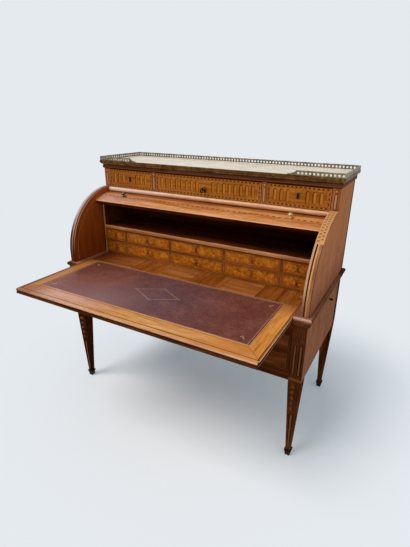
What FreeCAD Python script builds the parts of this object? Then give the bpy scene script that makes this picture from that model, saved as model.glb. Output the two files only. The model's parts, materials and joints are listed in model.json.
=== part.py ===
"""Cylinder desk: a quarter-round cover rolls up and back over a nest of small drawers,
and a leather-topped writing slide draws out below it. The desk stands on four tapered legs.

Sizes are in millimetres. Pieces are drawn with X to the right, Y to the back and Z up from
the floor, with the front of the lower case at Y = 0 and the middle of the desk at X = 0.
The stored desk has its cover open, its writing slide drawn out and its drawers shut.
"""
import FreeCAD, Part
import math
import os

V = FreeCAD.Vector

# Case
case_width = 1298.0
case_depth = 642.0
writing_height = 740.0       # floor to the top of the writing slide
side_thickness = 34.0
back_thickness = 12.0
rail_thickness = 20.0
partition_thickness = 22.0
dust_board_thickness = 10.0

# Legs and their brass caps
post_width = 58.0
leg_top_width = 57.0
leg_tip_width = 22.0
neck_width = 55.0
neck_height = 6.0
cap_height = 34.0
cap_lip_overhang = 5.0       # lip of a cap, out from the tip of the leg
cap_lip_height = 7.0
cap_lip_step = 2.0           # lip of a cap, out from the cap under it
cap_sole_width = 21.0
cap_wall = 2.0               # least wall of a cap, at its sole
cap_floor = 4.0

# Lower case
knee_width = 616.0           # clear width between the two drawer pedestals
bottom_rail_height = 40.0
lower_drawer_height = 93.0
middle_board_thickness = 11.0
upper_drawer_height = 79.0
knee_rail_height = 22.0
slot_rail_height = 18.7      # rail of the side over the slot of the side slide

# Side slides that draw out of the left and right ends of the lower case
side_slide_stop_gap = 35.0   # between a shut side slide and the partition behind it
side_slide_front_inset = 181.0   # from the front posts back to the slide
side_slide_back_inset = 61.0     # from the slide back to the rear posts
side_slide_thickness = 16.0
side_knob_length = 20.0
side_knob_radius = 7.0

# Waist moulding
waist_height = 43.0
waist_overhang = 16.0
waist_back_inset = 28.5      # inner face of the back length, in from the back of the case
waist_bead_height = 22.0
waist_bead_rounding = 9.0
waist_cove_overhang = 8.0
waist_cove_chamfer = 5.0

# Writing slide
slide_post_gap = 3.0         # between the slide and each front post
slide_thickness = 26.0
slide_drawn_out = 388.0      # how far it stands in front of the case
slide_shut_proud = 22.0      # how far it stands in front of the case when pushed in
slide_band_width = 66.0
slide_nosing_depth = 18.0
slide_edge_rounding = 3.0
nosing_groove_depth = 1.5
leather_depth = 379.0
leather_thickness = 1.5
bearer_width = 70.0

# Rolling cover
pivot_rise = 45.0            # pivot above the writing slide
side_radius = 320.0          # quarter-round outline of the upper sides
cover_inset = 29.0           # cover inside that outline
cover_back_gap = 31.2        # between the open cover and the back of the case
cover_thickness = 18.0
cover_span = 100.0           # degrees, from the lip to the far edge
cover_open_angle = 62.0      # degrees of the lip above the front horizontal when open
lip_span = 18.0              # degrees of the thicker rail along the lip
lip_extra = 1.0              # how much thicker the lip rail is on each face
arm_slot = 10.0              # space beside the nest in which the arms swing
arm_thickness = 6.0
arm_hub_radius = 22.0
arm_rim_width = 22.0
arm_rim_span = 40.0          # degrees
arm_spoke_width = 16.0
pin_radius = 6.0
pin_seat = 14.0              # depth of the pin in the side board
knob_inset = 150.5           # knobs in from the ends of the cover
knob_angle = 13.5            # degrees from the lip edge to the knob
knob_length = 26.0
knob_radius = 12.0
knob_shank_radius = 3.0
knob_shank_length = 12.0

# Nest of small drawers under the cover
nest_ahead = 93.0            # front of the nest, forward of the cover's pivot
nest_depth = 279.0
cheek_thickness = 10.0
cheek_gap = 6.0              # between the cheeks' curve and the cover over them
nest_board = 6.0
nest_divider = 8.0
nest_inner_share = 0.2639    # places of the uprights, as shares of the nest's half width
nest_outer_share = 0.7563
nest_lower_row = 65.0
nest_upper_row = 63.0
nest_back_drop = 9.3         # top of the nest's back, below the curve of its cheeks
nest_back_thickness = 8.0
shelf_thickness = 21.0
shelf_nose = 8.0
shelf_rounding = 7.0
nest_knob_radius = 4.5
nest_knob_length = 11.0

# Frieze with three drawers
frieze_ahead = 7.0           # front of the frieze, forward of the cover's pivot
frieze_board_gap = 1.0       # between the lip of the rolling cover and the board above it
frieze_board_thickness = 23.0
frieze_drawer_height = 100.0
frieze_divider = 24.0
frieze_centre_width = 596.0
frieze_top_thickness = 21.0
frieze_top_overhang = 6.0    # nose of the top board in front of the drawers and past the ends
frieze_top_rounding = 6.0    # under that nose
frieze_top_chamfer = 4.0     # over it
bead_forward = 15.0          # nose of the bead in front of the drawer fronts

# Marble top, brass edge and pierced gallery
brass_height = 23.0
brass_overhang = 16.5
brass_ledge = 3.0
brass_ledge_reach = 10.0     # how far the ledge runs in under the marble
brass_inner = 4.0            # inner face of the rim, out from the frieze
brass_foot = 7.0             # overhang at the bottom of the moulding
brass_fillet = 2.5           # flat under the rim, outside the cove
marble_drop = 0.5            # marble below the top of the brass rim
gallery_height = 20.0
gallery_thickness = 3.0
gallery_inset = 4.5          # middle of the gallery, in from the edge of the rim
gallery_pitch = 17.2
gallery_hole_radius = 5.0
gallery_rail_width = 5.0
gallery_rail_height = 4.0
gallery_rail_rounding = 1.6
gallery_return = 208.0       # full-height length of each front return
gallery_ramp = 37.0          # length of the ramp that ends it
gallery_ramp_tip = 4.0       # height at the low end of the ramp
gallery_ramp_sag = 3.0       # depth of the ramp's hollow

# Drawer boxes
large_front_thickness = 18.0
large_board = 10.0
small_front_thickness = 10.0
small_board = 5.0
bottom_board = 5.0
drawer_stop_gap = 16.0       # behind a shut drawer

# Locks and key of the frieze drawers
lock_rise = 52.0             # keyhole above the frieze's floor
centre_lock_rise = 37.0
keyhole_radius = 3.5
keyhole_slot_width = 3.4
keyhole_slot_length = 9.0
plate_width = 19.0
plate_height = 31.0
plate_thickness = 1.2
lock_width = 54.0
lock_case_height = 40.0
lock_thickness = 14.0
lock_chamber_radius = 13.0
lock_chamber_depth = 9.0
key_shank_radius = 2.4
key_reach = 22.0             # shank in front of the drawer
key_bow_radius = 13.0
key_bow_thickness = 4.0
key_bow_hole = 8.0
key_bit_length = 7.0
key_bit_width = 5.0
key_bit_thickness = 2.4
key_tip_seat = 3.5           # shank in the bore of the lock's back plate

# Clearances
run_gap = 0.3                # under a piece that slides on a board
side_gap = 1.0               # beside and above a drawer front
board_gap = 1.5              # beside a drawer box, the writing slide and the rolling cover
fit_gap = 0.05               # around a pin or shank that turns or is pushed in
seat_gap = 0.1               # between two fixed pieces with shaped faces
near = 0.01                  # two places closer than this are the same place

# Places worked out from the sizes above, across the desk
half_case = case_width / 2
inner_half = half_case - side_thickness
post_inner = half_case - post_width
half_knee = knee_width / 2
pedestal_inner = half_knee + partition_thickness
half_slide = post_inner - slide_post_gap
leather_half = half_slide - slide_band_width
waist_inner = half_slide + board_gap
waist_outer = half_case + waist_overhang
cover_half = inner_half - board_gap
nest_half = inner_half - arm_slot - cheek_thickness
half_centre = frieze_centre_width / 2
side_lock_x = (half_centre + frieze_divider + inner_half) / 2
knob_x = cover_half - knob_inset
nest_inner_divider_x = nest_half * nest_inner_share
nest_outer_divider_x = nest_half * nest_outer_share
side_slide_inner = pedestal_inner + side_slide_stop_gap
cap_lip_width = leg_tip_width + 2 * cap_lip_overhang
spigot_width = cap_sole_width - 2 * cap_wall

# From the front to the back
back_inner_y = case_depth - back_thickness
rear_post_y = case_depth - post_width
side_slide_front_y = post_width + side_slide_front_inset
side_slide_back_y = rear_post_y - side_slide_back_inset
waist_back_y = case_depth - waist_back_inset
slide_front_y = -slide_drawn_out
slide_travel = slide_drawn_out - slide_shut_proud
slide_back_y = waist_back_y - board_gap - slide_travel
band_front_y = slide_front_y + slide_nosing_depth
leather_front_y = band_front_y + slide_band_width
cover_radius = side_radius - cover_inset
cover_inner = cover_radius - cover_thickness
cover_back_reach = cover_radius * -math.cos(math.radians(cover_open_angle + cover_span))
pivot_y = back_inner_y - cover_back_gap - cover_back_reach
side_front_y = pivot_y - side_radius
nest_front_y = pivot_y - nest_ahead
nest_back_y = nest_front_y + nest_depth
nest_board_y = nest_back_y - nest_back_thickness
frieze_front_y = pivot_y - frieze_ahead
bead_radius = frieze_board_thickness / 2
frieze_board_front = frieze_front_y - bead_forward + bead_radius
desk_back_y = case_depth + brass_overhang
origin_y = (slide_front_y + desk_back_y) / 2

# From the writing slide down
waist_bottom = writing_height - waist_height
slot_top = waist_bottom - slot_rail_height
side_slide_top = slot_top - side_gap
side_slide_bottom = side_slide_top - side_slide_thickness
top_board_top = side_slide_bottom - run_gap
top_board_bottom = top_board_top - dust_board_thickness
middle_board_top = top_board_bottom - upper_drawer_height
middle_board_bottom = middle_board_top - middle_board_thickness
bottom_board_top = middle_board_bottom - lower_drawer_height
case_bottom = bottom_board_top - bottom_rail_height
slide_bottom = writing_height - slide_thickness
bearer_top = slide_bottom - run_gap

# From the writing slide up
pivot_z = writing_height + pivot_rise
side_top = pivot_z + side_radius
cheek_radius = cover_inner - lip_extra - cheek_gap
nest_floor = writing_height + side_gap + nest_board
nest_split = nest_floor + nest_lower_row
nest_upper_floor = nest_split + nest_board
shelf_bottom = nest_upper_floor + nest_upper_row
shelf_top = shelf_bottom + shelf_thickness
nest_back_top = pivot_z + math.sqrt(cheek_radius ** 2 - (nest_back_y - pivot_y) ** 2) - nest_back_drop
frieze_board_bottom = pivot_z + cover_radius + lip_extra + frieze_board_gap
frieze_floor = frieze_board_bottom + frieze_board_thickness
frieze_ceiling = frieze_floor + frieze_drawer_height
frieze_top = frieze_ceiling + frieze_top_thickness
brass_top = frieze_top + brass_height
marble_bottom = frieze_top + brass_ledge
brass_cove_radius = brass_overhang - brass_foot - brass_fillet

# Lengths of the drawers
nest_drawer_length = nest_board_y - nest_front_y - drawer_stop_gap
frieze_drawer_length = back_inner_y - frieze_front_y - drawer_stop_gap
lower_drawer_length = back_inner_y - drawer_stop_gap

nodes = {}


def block(x0, x1, y0, y1, z0, z1):
    """A board between two corners."""
    return Part.makeBox(x1 - x0, y1 - y0, z1 - z0, V(x0, y0, z0))


def mirrored(shape):
    """The same shape on the other side of the desk's middle."""
    return shape.mirror(V(0, 0, 0), V(1, 0, 0))


def pair(shape):
    return [shape, mirrored(shape)]


def cylinder(radius, start, end):
    run = end - start
    return Part.makeCylinder(radius, run.Length, start, run)


def prism(points, run):
    """A flat outline of straight edges, extruded along run."""
    return Part.Face(Part.makePolygon(points + [points[0]])).extrude(run)


def at_angle(radius, degrees, x=0.0):
    """A point about the cover's pivot, by its angle above the front horizontal."""
    angle = math.radians(degrees)
    return V(x, pivot_y - radius * math.cos(angle), pivot_z + radius * math.sin(angle))


def cover_sector(r_in, r_out, start, end, x0, x1):
    """A piece of a hollow drum about the cover's pivot."""
    middle = (start + end) / 2
    outer = [at_angle(r_out, degrees, x0) for degrees in (start, middle, end)]
    inner = [at_angle(r_in, degrees, x0) for degrees in (end, middle, start)]
    edges = [
        Part.Arc(*outer).toShape(),
        Part.LineSegment(outer[2], inner[0]).toShape(),
        Part.Arc(*inner).toShape(),
        Part.LineSegment(inner[2], outer[0]).toShape(),
    ]
    return Part.Face(Part.Wire(edges)).extrude(V(x1 - x0, 0, 0))


def turned(outline, base, direction):
    """A lathe-turned piece. The outline lists points as (radius, height). A pair of such
    points stands for an arc from the point before it, through the first, to the second."""
    here = V(0, 0, 0)
    edges = []
    for step in outline:
        if isinstance(step[0], tuple):
            middle = V(step[0][0], 0, step[0][1])
            there = V(step[1][0], 0, step[1][1])
            edges.append(Part.Arc(here, middle, there).toShape())
        else:
            there = V(step[0], 0, step[1])
            edges.append(Part.LineSegment(here, there).toShape())
        here = there
    edges.append(Part.LineSegment(here, V(0, 0, 0)).toShape())
    piece = Part.Face(Part.Wire(edges)).revolve(V(0, 0, 0), V(0, 0, 1), 360)
    piece.Placement = FreeCAD.Placement(base, FreeCAD.Rotation(V(0, 0, 1), direction))
    return piece


def mitred_strip(section, start, start_out, end, end_out):
    """A moulding between two cut ends. The section lists (outward, height) points, and each
    end has its own place and outward direction, so that a corner is cut along its mitre."""
    rings = []
    for place, out in ((start, start_out), (end, end_out)):
        ring = [place + out * u + V(0, 0, z) for u, z in section]
        rings.append(Part.makePolygon(ring + [ring[0]]))
    return Part.makeLoft(rings, True, True)


def drawer(x0, x1, z0, z1, front_y, length, front_thickness, board):
    """Front, two sides, back and bottom of a drawer that fills the opening x0..x1, z0..z1."""
    low = z0 + run_gap
    front_back = front_y + front_thickness
    end = front_y + length
    left = x0 + board_gap
    right = x1 - board_gap
    rim = z1 - side_gap - board
    return {
        "front": block(x0 + side_gap, x1 - side_gap, front_y, front_back, low, z1 - side_gap),
        "left": block(left, left + board, front_back, end, low, rim),
        "right": block(right - board, right, front_back, end, low, rim),
        "back": block(left + board, right - board, end - board, end, low, rim),
        "bottom": block(left + board, right - board, front_back, end - board, low, low + bottom_board),
    }


def keyhole(x, z, y0, y1):
    """The hole for a key: round above, with a slot for the bit below."""
    eye = cylinder(keyhole_radius, V(x, y0, z), V(x, y1, z))
    half = keyhole_slot_width / 2
    slot = block(x - half, x + half, y0, y1, z - keyhole_slot_length, z)
    return eye.fuse(slot).removeSplitter()


def leg():
    """Front right leg: a square post in the case, a neck and a tapered shaft, in one piece."""
    middle = V(half_case - post_width / 2, post_width / 2, 0)

    def square(width, z):
        h = width / 2
        corners = [V(-h, -h, z), V(h, -h, z), V(h, h, z), V(-h, h, z)]
        corners = [middle + corner for corner in corners]
        return Part.makePolygon(corners + [corners[0]])

    post = block(post_inner, half_case, 0, post_width, case_bottom, waist_bottom)
    neck_bottom = case_bottom - neck_height
    neck = Part.Face(square(neck_width, neck_bottom)).extrude(V(0, 0, neck_height))
    shaft = Part.makeLoft([square(leg_tip_width, cap_height), square(leg_top_width, neck_bottom)], True, True)
    spigot = Part.Face(square(spigot_width, cap_floor)).extrude(V(0, 0, cap_height - cap_floor))
    lip_bottom = cap_height - cap_lip_height
    cap_top = Part.Face(square(cap_lip_width, lip_bottom)).extrude(V(0, 0, cap_lip_height))
    foot_top_width = cap_lip_width - 2 * cap_lip_step
    cap_foot = Part.makeLoft([square(cap_sole_width, 0), square(foot_top_width, lip_bottom)], True, True)
    socket = Part.Face(square(spigot_width + 2 * seat_gap, cap_floor)).extrude(V(0, 0, cap_height))
    cap = cap_foot.fuse(cap_top).cut(socket).removeSplitter()
    return post.fuse([neck, shaft, spigot]).removeSplitter(), cap


def make_legs():
    front_right, cap = leg()
    back_right = front_right.mirror(V(0, case_depth / 2, 0), V(0, 1, 0))
    back_cap = cap.mirror(V(0, case_depth / 2, 0), V(0, 1, 0))
    nodes["leg_front_right"] = [front_right]
    nodes["leg_front_left"] = [mirrored(front_right)]
    nodes["leg_back_right"] = [back_right]
    nodes["leg_back_left"] = [mirrored(back_right)]
    nodes["leg_caps"] = pair(cap) + pair(back_cap)


def make_lower_case():
    """Sides with a slot for the side slides, back, front rails, partitions and drawer boards."""
    slot_front = side_slide_front_y - side_gap
    slot_back = side_slide_back_y + side_gap
    right_side = [
        block(inner_half, half_case, post_width, rear_post_y, case_bottom, top_board_top),
        block(inner_half, half_case, post_width, slot_front, top_board_top, slot_top),
        block(inner_half, half_case, slot_back, rear_post_y, top_board_top, slot_top),
        block(inner_half, half_case, post_width, rear_post_y, slot_top, waist_bottom),
    ]
    nodes["lower_side_right"] = right_side
    nodes["lower_side_left"] = [mirrored(board) for board in right_side]
    nodes["lower_back"] = [
        block(-post_inner, post_inner, back_inner_y, case_depth, case_bottom, waist_bottom)]
    bottom_rail = block(pedestal_inner, post_inner, 0, rail_thickness, case_bottom, bottom_board_top)
    stile = block(half_knee, pedestal_inner, 0, rail_thickness, case_bottom, top_board_bottom)
    knee_rail_bottom = middle_board_top - knee_rail_height
    knee_rail = block(-half_knee, half_knee, 0, rail_thickness, knee_rail_bottom, middle_board_top)
    top_rail = block(-post_inner, post_inner, 0, rail_thickness, top_board_bottom, waist_bottom)
    slide_rail = block(-waist_inner, waist_inner, 0, rail_thickness, waist_bottom, bearer_top)
    nodes["front_rails"] = pair(bottom_rail) + pair(stile) + [knee_rail, top_rail, slide_rail]
    partition = block(half_knee, pedestal_inner, rail_thickness, back_inner_y, case_bottom, waist_bottom)
    nodes["pedestal_partitions"] = pair(partition)
    bottom = block(pedestal_inner, post_inner, rail_thickness, back_inner_y,
                   bottom_board_top - dust_board_thickness, bottom_board_top)
    middle = block(pedestal_inner, post_inner, 0, back_inner_y, middle_board_bottom, middle_board_top)
    top = block(pedestal_inner, post_inner, rail_thickness, back_inner_y, top_board_bottom, top_board_top)
    centre = block(-half_knee, half_knee, rail_thickness, back_inner_y,
                   middle_board_top - dust_board_thickness, middle_board_top)
    nodes["dust_boards"] = pair(bottom) + pair(middle) + pair(top) + [centre]
    bearer = block(waist_inner - bearer_width, waist_inner, rail_thickness, waist_back_y,
                   waist_bottom, bearer_top)
    nodes["slide_bearers"] = pair(bearer)


def waist_length(x0, x1, y0, y1, out_x, front):
    """One length of the waist moulding: a rounded bead over a smaller chamfered member."""
    shrink = waist_overhang - waist_cove_overhang
    bead_bottom = writing_height - waist_bead_height
    bead = block(x0, x1, y0, y1, bead_bottom, writing_height)
    lower = block(x0, x1 - out_x * shrink, y0 + front * shrink, y1 - shrink, waist_bottom, bead_bottom)

    def outer_edges(shape, heights):
        box = shape.BoundBox
        chosen = []
        for edge in shape.Edges:
            middle = edge.CenterOfMass
            level = any(abs(middle.z - height) < near for height in heights)
            outside = abs(middle.y - box.YMax) < near
            outside = outside or (front and abs(middle.y - box.YMin) < near)
            outside = outside or (out_x and abs(middle.x - box.XMax) < near)
            if level and outside:
                chosen.append(edge)
        return chosen

    bead = bead.makeFillet(waist_bead_rounding, outer_edges(bead, (bead_bottom, writing_height)))
    lower = lower.makeChamfer(waist_cove_chamfer, outer_edges(lower, (waist_bottom,)))
    return bead.fuse(lower)


def make_waist():
    right = waist_length(waist_inner, waist_outer, -waist_overhang, case_depth + waist_overhang, 1, 1)
    back = waist_length(-waist_inner, waist_inner, waist_back_y, case_depth + waist_overhang, 0, 0)
    nodes["waist_moulding"] = pair(right) + [back]


def make_upper_case():
    """Quarter-round sides, the cheeks of the nest inside them, the back and the pivot pins."""
    x = inner_half
    start, crown, end = [at_angle(side_radius, degrees, x) for degrees in (0, 45, 90)]
    straight = Part.makePolygon([
        end,
        V(x, case_depth, side_top),
        V(x, case_depth, writing_height),
        V(x, side_front_y, writing_height),
        start,
    ])
    outline = Part.Wire([Part.Arc(start, crown, end).toShape()] + straight.Edges)
    side = Part.Face(outline).extrude(V(side_thickness, 0, 0))
    cheek_out = nest_half + cheek_thickness
    cheek = block(nest_half, cheek_out, nest_front_y, nest_back_y, writing_height, side_top)
    cheek = cheek.common(cylinder(cheek_radius, V(nest_half, pivot_y, pivot_z),
                                  V(cheek_out, pivot_y, pivot_z)))
    pin_start = V(nest_half, pivot_y, pivot_z)
    pin_end = V(inner_half + pin_seat, pivot_y, pivot_z)
    hole = cylinder(pin_radius + fit_gap, pin_start, pin_end)
    side = side.cut(hole)
    cheek = cheek.cut(hole)
    nodes["upper_side_right"] = [side]
    nodes["upper_side_left"] = [mirrored(side)]
    nodes["nest_cheeks"] = pair(cheek)
    nodes["cylinder_pivot_pins"] = pair(cylinder(pin_radius, pin_start, pin_end))
    nodes["upper_back"] = [
        block(-inner_half, inner_half, back_inner_y, case_depth, writing_height, frieze_ceiling)]


def make_nest():
    """Boards of the nest: floor, uprights, row boards, the shelf over them and the back."""
    centres = [-nest_outer_divider_x, -nest_inner_divider_x, nest_inner_divider_x, nest_outer_divider_x]
    half = nest_divider / 2
    boards = [block(-nest_half, nest_half, nest_front_y, nest_board_y, nest_floor - nest_board, nest_floor)]
    for x in centres:
        boards.append(block(x - half, x + half, nest_front_y, nest_board_y, nest_floor, shelf_bottom))
    lefts = [-nest_half] + [x + half for x in centres]
    rights = [x - half for x in centres] + [nest_half]
    for left, right in zip(lefts, rights):
        boards.append(block(left, right, nest_front_y, nest_board_y, nest_split, nest_upper_floor))
    nodes["nest_dividers"] = boards
    shelf = block(-nest_half, nest_half, nest_front_y - shelf_nose, nest_board_y, shelf_bottom, shelf_top)
    nose = [edge for edge in shelf.Edges
            if abs(edge.CenterOfMass.y - shelf.BoundBox.YMin) < near and abs(edge.CenterOfMass.x) < near]
    nodes["nest_shelf"] = [shelf.makeFillet(shelf_rounding, nose)]
    nodes["nest_back"] = [block(-nest_half, nest_half, nest_board_y, nest_back_y,
                                nest_floor - nest_board, nest_back_top)]
    make_nest_drawers(lefts, rights)


def make_nest_drawers(lefts, rights):
    columns = ("far_left", "left", "centre", "right", "far_right")
    rows = (("lower", nest_floor, nest_split), ("upper", nest_upper_floor, shelf_bottom))
    small_knob = [
        (nest_knob_radius * 0.8, 0),
        (nest_knob_radius * 0.45, nest_knob_length * 0.35),
        (nest_knob_radius, nest_knob_length * 0.6),
        ((nest_knob_radius * 0.8, nest_knob_length * 0.9), (nest_knob_radius * 0.4, nest_knob_length)),
        (0, nest_knob_length),
    ]
    for row, z0, z1 in rows:
        for column, x0, x1 in zip(columns, lefts, rights):
            boards = drawer(x0, x1, z0, z1, nest_front_y, nest_drawer_length,
                            small_front_thickness, small_board)
            knob = turned(small_knob, V((x0 + x1) / 2, nest_front_y, (z0 + z1) / 2), V(0, -1, 0))
            nodes["nest_drawer_%s_%s" % (column, row)] = list(boards.values()) + [knob]


def make_frieze():
    """The case over the rolling cover: a floor with a half-round bead, uprights and a top."""
    nodes["frieze_bottom_board"] = [block(-inner_half, inner_half, frieze_board_front, back_inner_y,
                                          frieze_board_bottom, frieze_floor)]
    bead_middle = V(-inner_half, frieze_board_front, frieze_floor - bead_radius)
    bead = cylinder(bead_radius, bead_middle, bead_middle + V(2 * inner_half, 0, 0))
    front_half = block(-inner_half, inner_half, frieze_board_front - bead_radius, frieze_board_front,
                       frieze_floor - 2 * bead_radius, frieze_floor)
    nodes["frieze_bead"] = [bead.common(front_half)]
    outer = block(inner_half, half_case, frieze_front_y, case_depth, side_top, frieze_ceiling)
    divider = block(half_centre, half_centre + frieze_divider, frieze_front_y, back_inner_y,
                    frieze_floor, frieze_ceiling)
    nodes["frieze_uprights"] = pair(outer) + pair(divider)
    nodes["frieze_top_board"] = [frieze_top_board()]
    openings = {
        "left": (-inner_half, -half_centre - frieze_divider, -side_lock_x, frieze_floor + lock_rise),
        "centre": (-half_centre, half_centre, 0.0, frieze_floor + centre_lock_rise),
        "right": (half_centre + frieze_divider, inner_half, side_lock_x, frieze_floor + lock_rise),
    }
    for name, (x0, x1, lock_x, lock_z) in openings.items():
        boards = drawer(x0, x1, frieze_floor, frieze_ceiling, frieze_front_y, frieze_drawer_length,
                        large_front_thickness, large_board)
        front_back = frieze_front_y + large_front_thickness
        hole = keyhole(lock_x, lock_z, frieze_front_y - plate_thickness, front_back + lock_thickness)
        boards["front"] = boards["front"].cut(hole)
        nodes["frieze_drawer_" + name] = list(boards.values())
        nodes["frieze_lock_" + name] = drawer_lock(lock_x, lock_z, front_back, hole)
    nodes["drawer_key"] = [key(0.0, frieze_floor + centre_lock_rise)]


def frieze_top_board():
    """The board over the frieze drawers, with a nose on all four sides, rounded below and chamfered above."""
    out = frieze_top_overhang
    board = block(-half_case - out, half_case + out, frieze_front_y - out, case_depth + out,
                  frieze_ceiling, frieze_top)
    under = [edge for edge in board.Edges if abs(edge.BoundBox.ZMax - frieze_ceiling) < near]
    board = board.makeFillet(frieze_top_rounding, under)
    over = [edge for edge in board.Edges if abs(edge.BoundBox.ZMin - frieze_top) < near]
    return board.makeChamfer(frieze_top_chamfer, over)


def drawer_lock(x, z, front_back, hole):
    """A keyhole plate on the drawer's face and the lock case behind it."""
    half_w = plate_width / 2
    half_h = plate_height / 2
    plate = cylinder(half_h, V(x, frieze_front_y - plate_thickness, z), V(x, frieze_front_y, z))
    plate = plate.common(block(x - half_w, x + half_w, frieze_front_y - plate_thickness, frieze_front_y,
                               z - half_h, z + half_h))
    lock = block(x - lock_width / 2, x + lock_width / 2, front_back, front_back + lock_thickness,
                 z - lock_case_height / 2, z + lock_case_height / 2)
    chamber_end = V(x, front_back + lock_chamber_depth, z)
    chamber = cylinder(lock_chamber_radius, V(x, front_back, z), chamber_end)
    tip_end = chamber_end + V(0, key_tip_seat + fit_gap, 0)
    tip_bore = cylinder(key_shank_radius + fit_gap, chamber_end, tip_end)
    return [plate.cut(hole), lock.cut(chamber).cut(tip_bore)]


def key(x, z):
    """A key in the middle lock: ring bow, shank and bit, free to turn with its tip in the back plate."""
    chamber_end = frieze_front_y + large_front_thickness + lock_chamber_depth
    bit_end = chamber_end - side_gap
    bow_y = frieze_front_y - key_reach
    shank = cylinder(key_shank_radius, V(x, bow_y, z), V(x, chamber_end + key_tip_seat, z))
    bit = block(x - key_bit_thickness / 2, x + key_bit_thickness / 2, bit_end - key_bit_width, bit_end,
                z - key_shank_radius - key_bit_length, z)
    bow_middle = V(x - key_bow_thickness / 2, bow_y - key_bow_radius + key_shank_radius, z)
    bow_far = bow_middle + V(key_bow_thickness, 0, 0)
    bow = cylinder(key_bow_radius, bow_middle, bow_far).cut(cylinder(key_bow_hole, bow_middle, bow_far))
    return shank.fuse([bit, bow]).removeSplitter()


def make_top():
    """Brass edge moulding in four mitred lengths, and the marble slab that it holds."""
    cove_steps = 6
    section = [(-brass_ledge_reach, 0), (brass_foot, 0)]
    for step in range(cove_steps + 1):
        turn = math.pi / 2 * step / cove_steps
        section.append((brass_foot + brass_cove_radius * (1 - math.cos(turn)),
                        brass_ledge + brass_cove_radius * math.sin(turn)))
    section += [(brass_overhang, brass_ledge + brass_cove_radius), (brass_overhang, brass_height),
                (brass_inner, brass_height), (brass_inner, brass_ledge), (-brass_ledge_reach, brass_ledge)]
    corners = [V(-half_case, frieze_front_y, frieze_top), V(half_case, frieze_front_y, frieze_top),
               V(half_case, case_depth, frieze_top), V(-half_case, case_depth, frieze_top)]
    outs = [V(-1, -1, 0), V(1, -1, 0), V(1, 1, 0), V(-1, 1, 0)]
    strips = []
    for i in range(4):
        j = (i + 1) % 4
        strips.append(mitred_strip(section, corners[i], outs[i], corners[j], outs[j]))
    nodes["brass_edge_moulding"] = strips
    edge = brass_inner - seat_gap
    half_marble = half_case + edge
    nodes["marble_top"] = [block(-half_marble, half_marble, frieze_front_y - edge, case_depth + edge,
                                 marble_bottom, brass_top - marble_drop)]


def gallery_strip(length, ramp):
    """A pierced brass strip along X from 0, standing at Z = 0, with a ramp after its full height."""
    half = gallery_thickness / 2
    rail_bottom = gallery_height - gallery_rail_height
    outline = [Part.LineSegment(V(0, -half, rail_bottom), V(0, -half, 0)).toShape()]
    end = length + ramp
    outline.append(Part.LineSegment(V(0, -half, 0), V(end, -half, 0)).toShape())
    if ramp:
        tip = V(end, -half, gallery_ramp_tip)
        head = V(length, -half, rail_bottom)
        outline.append(Part.LineSegment(V(end, -half, 0), tip).toShape())
        outline.append(Part.Arc(tip, (tip + head) / 2 - V(0, 0, gallery_ramp_sag), head).toShape())
    else:
        outline.append(Part.LineSegment(V(end, -half, 0), V(end, -half, rail_bottom)).toShape())
    outline.append(Part.LineSegment(V(length, -half, rail_bottom), V(0, -half, rail_bottom)).toShape())
    count = int(length / gallery_pitch)
    first = (length - gallery_pitch * (count - 1)) / 2
    holes = []
    for i in range(count):
        middle = V(first + i * gallery_pitch, -half, rail_bottom / 2)
        holes.append(Part.Wire(Part.makeCircle(gallery_hole_radius, middle, V(0, 1, 0))))
    strip = Part.makeFace([Part.Wire(outline)] + holes, "Part::FaceMakerBullseye").extrude(V(0, 2 * half, 0))
    rail = block(0, length, -gallery_rail_width / 2, gallery_rail_width / 2, rail_bottom, gallery_height)
    top_edges = [edge for edge in rail.Edges
                 if abs(edge.CenterOfMass.z - gallery_height) < near and edge.Length > length - near]
    return strip.fuse(rail.makeFillet(gallery_rail_rounding, top_edges)).removeSplitter()


def make_gallery():
    """Back, two ends and two short front returns of the gallery."""
    line = brass_overhang - gallery_inset
    x = half_case + line
    front = frieze_front_y - line
    back = case_depth + line
    half_rail = gallery_rail_width / 2

    def placed(strip, place, turn):
        strip.Placement = FreeCAD.Placement(place, FreeCAD.Rotation(V(0, 0, 1), turn))
        return strip

    rear = placed(gallery_strip(2 * x + 2 * half_rail, 0), V(-x - half_rail, back, brass_top), 0)
    run = back - front - 2 * half_rail
    right = placed(gallery_strip(run, 0), V(x, front + half_rail, brass_top), 90)
    front_left = gallery_strip(gallery_return + half_rail, gallery_ramp)
    front_left = placed(front_left, V(-x - half_rail, front, brass_top), 0)
    nodes["gallery"] = [rear] + pair(right) + pair(front_left)


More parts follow.
